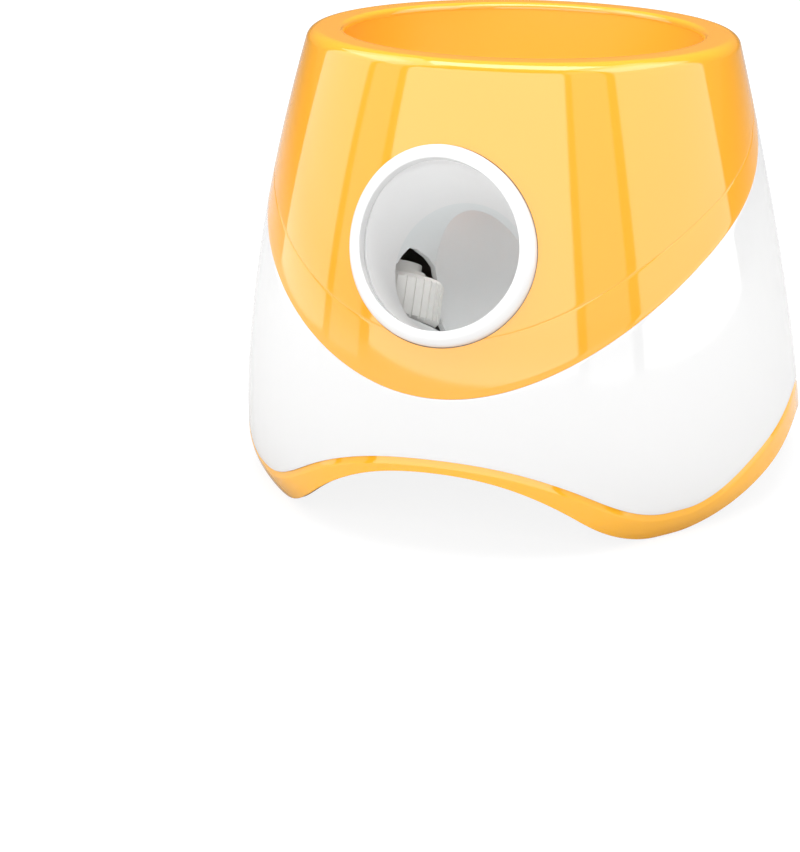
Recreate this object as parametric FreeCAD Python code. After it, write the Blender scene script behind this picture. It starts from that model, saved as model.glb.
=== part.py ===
"""Automatic ball launcher for a small dog.

Frame: +Z up, the floor at Z = 0 under the rubber pads, the barrel points to -Y and upwards.
Every length is in millimetres.
"""
import FreeCAD, Part
import math
import os
from FreeCAD import Vector

os.makedirs("parts", exist_ok=True)

# ---- driving dimensions -------------------------------------------------------------------
# ball
ball_radius = 25.0

# body outline
base_radius = 133.2
base_widest_height = 18.0
foot_tuck = 7.0
rim_radius = 100.7
rim_height = 208.0
rim_tilt_deg = 6.0
rim_setback = 6.8
belly_forward = 5.9
flare_power = 1.55
wall = 2.6
seam_gap = 0.3
tongue_wall = 1.6
tab_width = 14.0
tab_height = 5.0
hood_tab_angles = (-150.0, -90.0, -40.0, 40.0, 90.0, 150.0)
boss_radius = 4.5
boss_length = 26.0
rib_width = 2.2

# rolled rim and bowl
rim_thickness = 3.2
rim_outer_round = 6.0
rim_inner_round = 2.8
bowl_mouth_radius = 84.0
bowl_flange_width = 9.0
bowl_wall = 2.4
bowl_waist_radius = 64.0
bowl_waist_depth = 30.0
throat_height = 158.0
collar_length = 7.0

# parting line between hood and skirt, seen from the side
parting_front_height = 72.5
parting_middle_height = 152.0
parting_back_height = 182.0

# arches and the band round the feet
front_arch_height = 39.5
front_arch_half_span = 92.0
side_arch_height = 27.5
side_arch_centre = 15.0
side_arch_front_span = 102.0
side_arch_back_span = 70.0
foot_clearance = 0.8
band_foot_height = 14.2
band_front_height = 45.8
band_side_height = 41.8
band_arch_half_span = 97.0
band_side_front_span = 97.0
band_side_back_span = 77.0

# barrel
barrel_pitch_deg = 28.0
muzzle_setback = 118.0
muzzle_height = 140.8
ring_radius = 43.3
ring_mouth_radius = 37.0
ring_proud = 4.6
ring_edge_round = 3.0
ring_lip = 1.6
ring_depth = 20.0
ring_blank_reach = 40.0
barrel_wall = 2.2
barrel_split = 37.0
barrel_taper_end = 62.0

# launch chamber and feed tube
tube_clearance = 3.0
chamber_flange = 5.0
chamber_flange_half = 1.8
chamber_leg_width = 12.0
chamber_leg_depth = 14.0
ear_radius = 4.6
ear_thickness = 6.0

# launch wheels
wheel_radius = 28.0
wheel_height = 21.0
wheel_nip = 42.0
wheel_depth = 73.0
wheel_drop = 16.0
wheel_clearance = 1.5
tread_thickness = 6.0
tread_grooves = 36
tread_groove_depth = 0.9
tread_groove_width = 1.3
tread_chamfer = 2.0
hub_step_one = (18.6, 2.9)
hub_step_two = (16.4, 3.8)
hub_rim = 2.5
hub_core_radius = 5.0
hub_hollow_share = 0.7
slot_depth_side = 14.0
slot_corners = [
    (30.0, -28.0), (30.0, -4.0), (38.0, -4.0), (40.5, 0.0), (44.0, 4.6), (50.0, 5.0), (78.0, 0.8),
    (86.0, -3.0), (92.0, -8.0), (92.0, -28.0),
]

# launch motors and their brackets
motor_radius = 12.2
motor_length = 26.0
motor_cap_step = 1.5
motor_cap_length = 3.0
motor_boss_radius = 3.0
motor_boss_length = 1.5
motor_tag_spacing = 6.0
motor_tag_size = (2.4, 0.6, 4.0)
motor_screw_spacing = 8.0
shaft_radius = 1.5
shaft_clearance = 0.05
shaft_in_motor = 8.0
shaft_end_gap = 0.3
bracket_plate = 2.5
bracket_gap = 2.0
bracket_half_width = 16.0
bracket_cheek = 2.4
bracket_tab = 7.0
bracket_tab_thickness = 2.4
bracket_tab_shift = 4.0

# base plate and feet
plate_height = 42.0
plate_thickness = 3.0
plate_edge_gap = 0.4
foot_x = 84.0
foot_y = 76.0
foot_column_radius = 8.0
pad_radius = 6.5
pad_thickness = 3.5
pad_recess = 1.5
screw_radius = 1.5
screw_head_radius = 2.8
screw_head_height = 1.8
base_screw_seat = 3.0
base_screw_bite = 10.0
shank_radius = 1.2
drive_radius = 0.9
small_shank_radius = 1.1
small_head_radius = 2.2
small_head_height = 1.2

# ball stop: rack slider, pinion and gearmotor
stop_height = 132.0
stop_width = 8.0
stop_reach = 18.0
stop_travel = 24.0
stop_length = 62.0
stop_clearance = 0.2
gear_module = 1.0
pinion_teeth = 12
gear_backlash = 0.45
pinion_setback = 28.0
gearmotor_width = 12.0
gearmotor_depth = 10.0
gearmotor_length = 24.0
gearbox_length = 9.0
gear_addendum = 0.9
gear_dedendum = 1.25
gear_shaft_bite = 4.0
guide_side = 3.0
guide_roof = 2.5
shelf_thickness = 2.4
shelf_half_depth = 9.0

# sensor
sensor_radius = 2.5
sensor_length = 8.0
sensor_height = 141.0
sensor_collar = 0.8

# battery
cell_radius = 9.15
cell_length = 65.0
cell_gap = 1.5
cell_row_setback = 70.0
holder_wall = 2.0

# control panel on the back of the skirt
panel_width = 62.0
panel_height = 34.0
panel_centre = 106.0
panel_corner = 8.0
panel_proud = 0.8
panel_flange = 3.5
panel_flange_wall = 1.6
button_radius = 6.5
button_spacing = 15.0
button_proud = 1.6
button_travel = 0.5
button_flange = 1.2
button_flange_wall = 1.5
button_gap = 0.3
button_stem_radius = 2.0
switch_height = 4.3
light_radius = 1.5
light_spacing = 5.0
light_rise = 8.0
port_width = 9.0
port_thickness = 3.2
port_drop = 10.5
board_setback = 103.0
board_thickness = 1.6
panel_post_depth = 8.0
board_screw_length = 6.0
board_margin = 0.5
chip_sink = 0.01
controller_chip = (-8.0, -4.0, 12.0, 10.0, 1.6)
driver_chip = (10.0, -8.0, 6.0, 6.0, 2.4)
cell_connector = (-22.0, -6.0, 8.0, 10.0, 6.0)
speaker_radius = 13.0
speaker_depth = 5.0
speaker_foot_width = 16.0
speaker_foot_height = 6.0

# ---- values that follow from them ---------------------------------------------------------
pitch = math.radians(barrel_pitch_deg)
bore = ball_radius + tube_clearance
path_drop = ring_mouth_radius - bore
collar_outer = bore + barrel_wall + seam_gap + bowl_wall
wheel_offset = wheel_nip / 2.0 + wheel_radius
contact_reach = math.sqrt((wheel_radius + ball_radius) ** 2 - wheel_offset ** 2)
rest_depth = wheel_depth + contact_reach
plate_top = plate_height + plate_thickness
pilot_radius = shank_radius + 0.05
X_AXIS = Vector(1, 0, 0)
Y_AXIS = Vector(0, 1, 0)
Z_AXIS = Vector(0, 0, 1)
INWARD = Vector(0, math.cos(pitch), -math.sin(pitch))
UPWARD = Vector(0, math.sin(pitch), math.cos(pitch))
ORIGIN = Vector(0, 0, 0)
FAR = 400.0
UNDER_FLOOR = -base_widest_height * 0.25


# ---- plain helpers ------------------------------------------------------------------------
def save(node, shape):
    """Write one node's solids."""
    shape.exportStep("parts/" + node + ".step")


def cylinder(radius, length, start, direction=Z_AXIS):
    return Part.makeCylinder(radius, length, start, direction)


def tube(outer, inner, length, start, direction=Z_AXIS):
    return cylinder(outer, length, start, direction).cut(cylinder(inner, length, start, direction))


def block(low, high):
    """Axis-parallel box between two corners."""
    return Part.makeBox(high[0] - low[0], high[1] - low[1], high[2] - low[2], Vector(*low))


def circle_wire(centre, normal, radius):
    """Circle whose normal lies in the YZ plane and whose seam is on +X."""
    edge = Part.makeCircle(radius)
    turn = FreeCAD.Rotation(X_AXIS, -math.degrees(math.atan2(normal.y, normal.z)))
    edge.Placement = FreeCAD.Placement(centre, turn)
    return Part.Wire([edge])


def fused(shapes):
    """One solid out of overlapping ones."""
    body = shapes[0]
    for shape in shapes[1:]:
        body = body.fuse(shape)
    return body


def rounded_prism(width, height, corner, centre_z, y_from, y_to):
    """Rounded rectangle in X and Z, pushed along Y."""
    half_w = width / 2.0
    half_h = height / 2.0
    body = block((-half_w, y_from, centre_z - half_h), (half_w, y_to, centre_z + half_h))
    upright = [e for e in body.Edges if abs(e.tangentAt(e.FirstParameter).y) > 0.99]
    return body.makeFillet(corner, upright)


# ---- body outline -------------------------------------------------------------------------
def body_radius(height):
    """Outer radius: tucked in under the feet, then flaring inwards to the rim."""
    if height < base_widest_height:
        share = (base_widest_height - height) / base_widest_height
        return base_radius - foot_tuck * share ** 2
    share = (height - base_widest_height) / (rim_height - base_widest_height)
    return base_radius - (base_radius - rim_radius) * share ** flare_power


def body_lean(height):
    """How far a section's centre lies behind the Z axis."""
    share = max(0.0, (height - base_widest_height) / (rim_height - base_widest_height))
    return rim_setback * share - 4.0 * belly_forward * share * (1.0 - share)


def body_normal(height):
    """Normal of the section plane, which leans back towards the rim."""
    tilt = math.radians(rim_tilt_deg) * max(0.0, height / rim_height)
    return Vector(0, math.sin(tilt), math.cos(tilt))


def section(height, inset):
    centre = Vector(0, body_lean(height), height)
    return circle_wire(centre, body_normal(height), body_radius(height) - inset)


def section_heights(low, top):
    """Heights of the sections between two levels; low may lie below the widest part."""
    steps = 9
    heights = [low]
    start = low
    if low < 0.0:
        start = base_widest_height
        heights += [base_widest_height * 0.3, base_widest_height]
    heights += [start + (top - start) * i / steps for i in range(1, steps + 1)]
    return heights


def body_loft(inset, low=UNDER_FLOOR, top=rim_height):
    """Solid inside the outline, moved inwards by inset."""
    return Part.makeLoft([section(h, inset) for h in section_heights(low, top)], True, False)


def body_ring(outer_inset, inner_inset, low=UNDER_FLOOR, top=rim_height):
    """Skin between two insets of the outline, closed at both ends by flat faces."""
    heights = section_heights(low, top)
    faces = []
    for inset in (outer_inset, inner_inset):
        faces += Part.makeLoft([section(h, inset) for h in heights], False, False).Faces
    for height in (heights[0], heights[-1]):
        disc = Part.Face(section(height, outer_inset))
        faces += disc.cut(Part.Face(section(height, inner_inset))).Faces
    ring = Part.makeSolid(Part.makeShell(faces))
    if ring.Volume < 0.0:
        ring.reverse()
    return ring


RIM_NORMAL = body_normal(rim_height)
RIM_CENTRE = Vector(0, body_lean(rim_height), rim_height)


def below_rim(depth):
    """Point on the rim's axis at a depth under the rim plane."""
    return RIM_CENTRE - RIM_NORMAL * depth


def side_curve(points):
    """Smooth curve through (y, z) points in the plane X = -FAR."""
    spline = Part.BSplineCurve()
    spline.interpolate([Vector(-FAR, y, z) for y, z in points])
    return spline.toShape()


def parting_points(rise):
    """Side view of the parting line, from in front of the body to behind it."""
    front = parting_front_height
    mid = parting_middle_height
    back = parting_back_height
    points = [
        (-1.02, front - 2.5),
        (-0.94, front + (mid - front) * 0.10),
        (-0.79, front + (mid - front) * 0.31),
        (-0.42, front + (mid - front) * 0.69),
        (0.0, mid),
        (0.27, mid + (back - mid) * 0.62),
        (0.50, mid + (back - mid) * 0.93),
        (0.75, back),
        (1.10, back),
    ]
    return [(base_radius * share, height + rise) for share, height in points]


def above_parting(rise=0.0):
    """Everything over the parting line, or over a line raised from it."""
    points = parting_points(rise)
    first = Vector(-FAR, points[0][0], points[0][1])
    last = Vector(-FAR, points[-1][0], points[-1][1])
    corners = [last, Vector(-FAR, last.y, FAR), Vector(-FAR, first.y, FAR), first]
    edges = [side_curve(points)] + Part.makePolygon(corners).Edges
    return Part.Face(Part.Wire(Part.__sortEdges__(edges))).extrude(Vector(2 * FAR, 0, 0))


def arch_outline(centre, span_low, span_high, base, top, shape):
    """Arch as (offset, height) pairs: shape gives the fall from the crown to each springing."""
    rise = top - base
    left = [(centre - span_low * u, base + rise * v) for u, v in reversed(shape)]
    right = [(centre + span_high * u, base + rise * v) for u, v in shape[1:]]
    return left + right


BROAD_ARCH = ((0.0, 1.0), (0.35, 0.88), (0.68, 0.46), (0.90, 0.07), (1.0, 0.0))
STEEP_ARCH = ((0.0, 1.0), (0.33, 0.77), (0.66, 0.40), (0.93, 0.04), (1.0, 0.0))


def arch_prism(outline, along_x):
    """Everything under an arch, pushed right through the body, with the floor under it."""
    run = Y_AXIS if along_x else X_AXIS
    push = X_AXIS if along_x else Y_AXIS
    points = [run * u + Z_AXIS * z - push * FAR for u, z in outline]
    spline = Part.BSplineCurve()
    spline.interpolate(Points=points, InitialTangent=run, FinalTangent=run)
    low = -FAR / 4.0
    first = points[0]
    last = points[-1]
    corners = [last, Vector(last.x, last.y, low), Vector(first.x, first.y, low), first]
    wire = Part.Wire(Part.__sortEdges__([spline.toShape()] + Part.makePolygon(corners).Edges))
    return Part.Face(wire).extrude(push * 2 * FAR)


def under_wave(floor, front_top, side_top, half_span, side_front, side_back):
    """Everything below the wavy edge that dips to the four feet."""
    front = arch_outline(0.0, half_span, half_span, floor, front_top, BROAD_ARCH)
    side = arch_outline(side_arch_centre, side_front, side_back, floor, side_top, STEEP_ARCH)
    slab = block((-FAR, -FAR, -FAR / 4.0), (FAR, FAR, floor))
    return fused([slab, arch_prism(front, False), arch_prism(side, True)])


# ---- barrel frame -------------------------------------------------------------------------
MUZZLE = Vector(0, -muzzle_setback, muzzle_height)


def in_barrel(depth, rise=0.0, across=0.0):
    """Point at a depth behind the muzzle, a rise across the barrel and an offset to the side."""
    return MUZZLE + INWARD * depth + UPWARD * rise + X_AXIS * across


def barrel_solid(extra):
    """Inside of the barrel, grown by extra: a straight mouth, then a cone with a level floor line."""
    mouth = cylinder(ring_mouth_radius + extra, ring_blank_reach, in_barrel(-ring_blank_reach), INWARD)
    front = circle_wire(in_barrel(0.0), INWARD, ring_mouth_radius + extra)
    back = circle_wire(in_barrel(barrel_taper_end, -path_drop), INWARD, bore + extra)
    cone = Part.makeLoft([front, back], True, True)
    return fused([mouth, cone])


REST = in_barrel(rest_depth, -path_drop)
TUBE_TOP = throat_height - seam_gap


def chamber_solid(extra, top):
    """Inside of the ball's way from the feed tube to the muzzle, grown by extra."""
    level = cylinder(bore + extra, rest_depth - barrel_taper_end, in_barrel(barrel_taper_end, -path_drop),
                     INWARD)
    bend = Part.makeSphere(bore + extra, REST)
    drop = cylinder(bore + extra, top - REST.z, REST)
    return fused([barrel_solid(extra), level, bend, drop])


def behind(depth):
    """Half space behind a depth in the barrel."""
    size = FAR
    slab = Part.makeBox(2 * size, 2 * size, 2 * size, Vector(-size, -size, 0))
    turn = FreeCAD.Rotation(Z_AXIS, INWARD)
    slab.Placement = FreeCAD.Placement(in_barrel(depth), turn).multiply(slab.Placement)
    return slab


# ---- shells -------------------------------------------------------------------------------
def make_upper_shell():
    """Yellow hood: outer skin, rolled rim, hole for the muzzle ring."""
    skin = body_loft(0.0, base_widest_height)
    rim_edges = [e for e in skin.Edges if e.isClosed() and e.CenterOfMass.z > rim_height - 1.0]
    skin = skin.makeFillet(rim_outer_round, rim_edges)
    inside = body_loft(wall, base_widest_height * 0.5)
    skin = skin.cut(inside.cut(half_space_above_rim(rim_thickness)))
    mouth = cylinder(bowl_mouth_radius, 2.0 * rim_thickness, below_rim(rim_thickness * 1.5), RIM_NORMAL)
    skin = skin.cut(mouth)
    skin = skin.makeFillet(rim_inner_round, [e for e in skin.Edges if is_mouth_edge(e)])
    hole = cylinder(ring_radius + seam_gap, muzzle_setback, in_barrel(-muzzle_setback / 2.0), INWARD)
    return skin.common(above_parting(seam_gap)).cut(hole)


def half_space_above_rim(depth):
    """Everything over a plane at a depth under the rim."""
    slab = Part.makeBox(2 * FAR, 2 * FAR, FAR, Vector(-FAR, -FAR, 0))
    turn = FreeCAD.Rotation(Z_AXIS, RIM_NORMAL)
    slab.Placement = FreeCAD.Placement(below_rim(depth), turn).multiply(slab.Placement)
    return slab


def is_mouth_edge(edge):
    """True for the top edge of the bowl's mouth in the rim."""
    curve = edge.Curve
    if not isinstance(curve, Part.Circle):
        return False
    on_top = abs((curve.Center - RIM_CENTRE).dot(RIM_NORMAL)) < 0.1
    return on_top and abs(curve.Radius - bowl_mouth_radius) < 0.1


def make_hopper_bowl():
    """Funnel whose throat lies in front of its middle, with a flange under the rim."""
    throat = Vector(0, REST.y, throat_height)
    waist = below_rim(bowl_waist_depth)
    waist = Vector(0, (waist.y + throat.y) / 2.0 + 4.0, waist.z)
    waist_normal = body_normal(rim_height / 2.0)

    def funnel(grow, drop):
        sink = Vector(0, 0, -drop)
        return Part.makeLoft([
            circle_wire(below_rim(rim_thickness), RIM_NORMAL, bowl_mouth_radius + grow),
            circle_wire(waist + sink, waist_normal, bowl_waist_radius + grow),
            circle_wire(throat + sink, Z_AXIS, bore + grow),
        ], True, False)

    flange = cylinder(bowl_mouth_radius + bowl_flange_width, bowl_wall,
                      below_rim(rim_thickness + bowl_wall), RIM_NORMAL)
    collar = cylinder(collar_outer, collar_length + bowl_wall, throat - Z_AXIS * collar_length)
    body = fused([funnel(bowl_wall, bowl_wall), flange, collar])
    socket = cylinder(bore + barrel_wall + seam_gap, collar_length, throat - Z_AXIS * collar_length)
    hole = cylinder(bore, collar_length * 2.0, throat - Z_AXIS * collar_length)
    return body.cut(fused([funnel(0.0, 0.0), hole])).cut(socket)


def tab_blocks(angles, low, high):
    """Upright blocks through the body's wall at some angles from the front."""
    blocks = []
    for angle in angles:
        bar = block((-tab_width / 2.0, -base_radius - 10.0, low), (tab_width / 2.0, -base_radius / 2.0, high))
        bar.rotate(ORIGIN, Z_AXIS, angle)
        blocks.append(bar)
    return Part.makeCompound(blocks)


def tabs(blocks, upper, lower):
    """Snap tabs: plates behind the next shell's wall, on necks that join their own wall."""
    back = wall + seam_gap + tongue_wall
    plate = body_ring(wall + seam_gap, back, base_widest_height * 0.1, rim_height - rim_outer_round)
    neck = body_ring(wall / 2.0, back - tongue_wall / 3.0, base_widest_height * 0.1,
                     rim_height - rim_outer_round)
    return [plate.common(blocks).common(upper), neck.common(blocks).cut(upper).common(lower)]


def make_body_shell():
    """White skirt between the band and the parting line, with tabs behind the hood."""
    skirt = body_ring(0.0, wall, UNDER_FLOOR, parting_back_height + base_widest_height * 0.5)
    wave = under_wave(band_foot_height + seam_gap, band_front_height + seam_gap,
                      band_side_height + seam_gap, band_arch_half_span,
                      band_side_front_span, band_side_back_span)
    skirt = skirt.cut(above_parting()).cut(wave)
    blocks = tab_blocks(hood_tab_angles, parting_front_height - 2 * tab_height, FAR)
    blocks = blocks.cut(above_parting(tab_height))
    hooks = tabs(blocks, above_parting(-tab_height / 2.0), above_parting(-tab_height * 1.5))
    bosses = []
    inside = body_loft(wall / 2.0, base_widest_height, parting_front_height * 1.2)
    for x, y in foot_places():
        reach = math.hypot(x, y)
        boss_top = plate_top + boss_length
        post = cylinder(boss_radius, boss_length, Vector(x, y, plate_top))
        rib = block((0, -rib_width / 2.0, plate_top), (base_radius - reach, rib_width / 2.0, boss_top))
        rib.rotate(ORIGIN, Z_AXIS, math.degrees(math.atan2(y, x)))
        rib.translate(Vector(x, y, 0))
        pilot = cylinder(pilot_radius, boss_length / 2.0, Vector(x, y, plate_top))
        bosses.append(fused([post, rib]).common(inside).cut(pilot))
    window = rounded_prism(panel_width + 2 * seam_gap, panel_height + 2 * seam_gap,
                           panel_corner, panel_centre, base_radius / 2.0, FAR)
    return fused([skirt.cut(window)] + hooks + bosses)


def foot_places():
    return [(sx * foot_x, sy * foot_y) for sx in (-1, 1) for sy in (-1, 1)]


def make_base_trim():
    """Yellow band round the feet, with tabs behind the skirt."""
    wave_low = under_wave(foot_clearance, front_arch_height, side_arch_height, front_arch_half_span,
                          side_arch_front_span, side_arch_back_span)
    wave_top = under_wave(band_foot_height, band_front_height, band_side_height,
                          band_arch_half_span, band_side_front_span, band_side_back_span)
    ring = body_ring(0.0, wall, UNDER_FLOOR, band_front_height + base_widest_height)
    band = ring.common(wave_top).cut(wave_low)
    angles = [math.degrees(math.atan2(x, -y)) for x, y in foot_places()]
    blocks = tab_blocks(angles, band_foot_height - tab_height, band_foot_height + tab_height)
    over = block((-FAR, -FAR, band_foot_height - tab_height / 3.0), (FAR, FAR, FAR))
    return fused([band] + tabs(blocks, over, block((-FAR, -FAR, 0), (FAR, FAR, FAR))))


def make_base_plate():
    """Floor of the launcher with four foot columns."""
    gap = wall + seam_gap + tongue_wall + plate_edge_gap
    slab = block((-FAR, -FAR, plate_height), (FAR, FAR, plate_top))
    plate = body_loft(gap).common(slab)
    shapes = [plate]
    column_low = pad_thickness - pad_recess
    for x, y in foot_places():
        shapes.append(cylinder(foot_column_radius, plate_height - column_low + 1.0, Vector(x, y, column_low)))
    plate = fused(shapes)
    for x, y in foot_places():
        plate = plate.cut(cylinder(screw_radius + 0.2, plate_top, Vector(x, y, column_low)))
        plate = plate.cut(cylinder(screw_head_radius + 0.4, plate_height - column_low - base_screw_seat,
                                   Vector(x, y, column_low)))
        plate = plate.cut(cylinder(pad_radius + 0.2, pad_recess, Vector(x, y, column_low)))
    return plate


def make_foot_pads():
    return Part.makeCompound([cylinder(pad_radius, pad_thickness, Vector(x, y, 0))
                              for x, y in foot_places()])


def screw(tip, direction, length):
    """Pan-head screw: tip is the end of the shank, direction runs from tip to head."""
    shank = cylinder(shank_radius, length, tip, direction)
    head = cylinder(screw_head_radius, screw_head_height, tip + direction * length, direction)
    drive = cylinder(drive_radius, screw_head_height,
                     tip + direction * (length + screw_head_height / 2.0), direction)
    return shank.fuse(head).removeSplitter().cut(drive)


def make_base_screws():
    down = Z_AXIS * -1
    tip_height = plate_top + base_screw_bite
    seat = plate_height - base_screw_seat
    return Part.makeCompound([screw(Vector(x, y, tip_height), down, tip_height - seat)
                              for x, y in foot_places()])


# ---- barrel and chamber -------------------------------------------------------------------
def make_barrel_ring():
    """White bezel: a short tube that follows the hood's skin, with a rounded face."""
    length = ring_depth + ring_blank_reach
    start = in_barrel(-ring_blank_reach)
    blank = tube(ring_radius, ring_mouth_radius, length, start, INWARD)
    ring = blank.common(body_loft(-ring_proud, base_widest_height))
    ring = ring.makeFillet(ring_edge_round, [e for e in ring.Edges if is_ring_front(e)])
    recess_radius = ring_mouth_radius + barrel_wall + seam_gap
    recess = cylinder(recess_radius, length, start, INWARD)
    return ring.cut(recess.common(body_loft(ring_lip, base_widest_height)))


def is_ring_front(edge):
    """True for the outer edges of the bezel's face."""
    if isinstance(edge.Curve, Part.Line):
        return False
    for share in (0.0, 0.5, 1.0):
        parameter = edge.FirstParameter + share * (edge.LastParameter - edge.FirstParameter)
        point = edge.valueAt(parameter) - MUZZLE
        depth = point.dot(INWARD)
        off_axis = (point - INWARD * depth).Length
        if abs(off_axis - ring_radius) > 0.05 or depth > ring_depth - 1.0:
            return False
    return True


def make_launch_barrel():
    """Conical barrel behind the bezel."""
    body = barrel_solid(barrel_wall).cut(barrel_solid(0.0))
    return body.common(body_loft(ring_lip + seam_gap)).cut(behind(barrel_split))


def wheel_centre(side):
    return in_barrel(wheel_depth, -wheel_drop, side * wheel_offset)


def wheel_slot(side):
    """Window in one side of the barrel, with the room that the wheel turns in."""
    low = wheel_centre(side) - UPWARD * (wheel_height / 2.0 + wheel_clearance)
    room = cylinder(wheel_radius + wheel_clearance, wheel_height + 2.0 * wheel_clearance, low, UPWARD)
    corners = [in_barrel(depth, rise, side * slot_depth_side) for depth, rise in slot_corners]
    window = Part.Face(Part.makePolygon(corners + corners[:1]))
    return fused([room, window.extrude(X_AXIS * (side * wheel_offset))])


def make_chamber_half(side):
    """One half of the launch chamber: half the feed tube, the bend and the rear of the barrel."""
    inner = chamber_solid(0.0, TUBE_TOP + 20.0)
    outer = chamber_solid(barrel_wall, TUBE_TOP)
    rim = chamber_solid(barrel_wall + chamber_flange, TUBE_TOP - collar_length - 2.0)
    rim = rim.common(block((-chamber_flange_half, -FAR, 0), (chamber_flange_half, FAR, FAR)))
    collar_low = Vector(0, REST.y, throat_height - collar_length - 2.0 * seam_gap)
    rim = rim.cut(cylinder(collar_outer + 2.0 * seam_gap, FAR, collar_low))
    leg_half = chamber_leg_depth / 2.0
    leg = block((-chamber_leg_width, REST.y - leg_half, plate_top),
                (chamber_leg_width, REST.y + leg_half, REST.z))
    shapes = [outer, rim, leg]
    for y, z in ear_places():
        shapes.append(cylinder(ear_radius, ear_thickness, Vector(-ear_thickness / 2.0, y, z), X_AXIS))
    body = fused(shapes).common(behind(barrel_split)).cut(inner)
    for other in (-1, 1):
        body = body.cut(wheel_slot(other))
    wall_outside = cylinder(bore + barrel_wall, TUBE_TOP - REST.z, REST)
    body = body.cut(guide_channel(seam_gap).cut(wall_outside)).cut(stop_envelope(stop_clearance))
    for y, z in ear_places():
        body = body.cut(cylinder(pilot_radius, 2.0 * ear_thickness, Vector(-ear_thickness, y, z), X_AXIS))
    beam = Vector(-2.0 * bore, REST.y, sensor_height)
    body = body.cut(cylinder(sensor_radius + 0.1, 4.0 * bore, beam, X_AXIS))
    if side < 0:
        half = block((-FAR, -FAR, -FAR), (0, FAR, FAR))
    else:
        half = block((0, -FAR, -FAR), (FAR, FAR, FAR))
    return body.common(half)


def ear_places():
    """(y, z) of the screws that hold the two chamber halves together."""
    reach = bore + barrel_wall + chamber_flange * 0.7
    low = in_barrel(barrel_split + 10.0, -path_drop - reach)
    heel = in_barrel(rest_depth - 8.0, -path_drop - reach)
    back = REST.y + reach
    return [(low.y, low.z), (heel.y, heel.z), (back, REST.z + 12.0), (back, TUBE_TOP - collar_length - 7.0)]


def make_chamber_screws():
    half = ear_thickness / 2.0
    return Part.makeCompound([screw(Vector(-half, y, z), X_AXIS, ear_thickness) for y, z in ear_places()])


# ---- launch wheels and motors -------------------------------------------------------------
def make_wheel_tread(side):
    """Ribbed soft tyre."""
    centre = wheel_centre(side)
    low = centre - UPWARD * (wheel_height / 2.0)
    tread = tube(wheel_radius, wheel_radius - tread_thickness, wheel_height, low, UPWARD)
    rounds = [e for e in tread.Edges if isinstance(e.Curve, Part.Circle)]
    tread = tread.makeChamfer(tread_chamfer, [e for e in rounds if abs(e.Curve.Radius - wheel_radius) < 0.01])
    cutter = Part.makeBox(tread_groove_depth * 2.0, tread_groove_width, wheel_height * 1.2,
                          Vector(wheel_radius - tread_groove_depth, -tread_groove_width / 2.0, 0))
    cutter.Placement = FreeCAD.Placement(low - UPWARD * 2.0, FreeCAD.Rotation(Z_AXIS, UPWARD)).multiply(
        cutter.Placement)
    cutters = []
    for i in range(tread_grooves):
        turned = cutter.copy()
        turned.rotate(centre, UPWARD, 360.0 * i / tread_grooves)
        cutters.append(turned)
    return tread.cut(Part.makeCompound(cutters))


def make_wheel_hub(side):
    """Stepped hub with a hollow underside."""
    centre = wheel_centre(side)
    low = centre - UPWARD * (wheel_height / 2.0)
    top = centre + UPWARD * (wheel_height / 2.0)
    hub_radius = wheel_radius - tread_thickness
    radius_one, height_one = hub_step_one
    radius_two, height_two = hub_step_two
    body = fused([
        cylinder(hub_radius, wheel_height, low, UPWARD),
        cylinder(radius_one, height_one, top, UPWARD),
        cylinder(radius_two, height_one + height_two, top, UPWARD),
    ])
    hollow = tube(hub_radius - hub_rim, hub_core_radius, wheel_height * hub_hollow_share, low, UPWARD)
    bore_hole = cylinder(shaft_radius, wheel_height + height_one, low, UPWARD)
    return body.cut(hollow).cut(bore_hole)


def motor_face(side):
    """Centre of the motor's front face."""
    return wheel_centre(side) - UPWARD * (wheel_height / 2.0 + bracket_gap + bracket_plate)


def make_motor_shaft(side):
    start = motor_face(side) - UPWARD * shaft_in_motor
    end = wheel_centre(side) + UPWARD * (wheel_height / 2.0 + hub_step_one[1])
    return cylinder(shaft_radius, (end - start).Length, start, UPWARD)


def make_motor(side):
    """Can motor with a bearing boss, an end cap and two solder tags."""
    face = motor_face(side)
    down = UPWARD * -1
    can_length = motor_length - motor_cap_length
    can = cylinder(motor_radius, can_length, face, down)
    cap = cylinder(motor_radius - motor_cap_step, motor_cap_length, face + down * can_length, down)
    boss = cylinder(motor_boss_radius, motor_boss_length, face, UPWARD)
    bodies = [can, cap, boss]
    width, thickness, length = motor_tag_size
    for across in (-motor_tag_spacing, motor_tag_spacing):
        tag = Part.makeBox(width, thickness, length, Vector(-width / 2.0, -thickness / 2.0, 0))
        place = face + down * (motor_length - 0.5) + X_AXIS * across
        tag.Placement = FreeCAD.Placement(place, FreeCAD.Rotation(Z_AXIS, down)).multiply(tag.Placement)
        bodies.append(tag)
    depth = shaft_in_motor + shaft_end_gap
    bored = cylinder(shaft_radius + shaft_clearance, depth + 2.0 * motor_boss_length,
                     face - UPWARD * depth, UPWARD)
    return fused(bodies).cut(bored)


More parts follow.
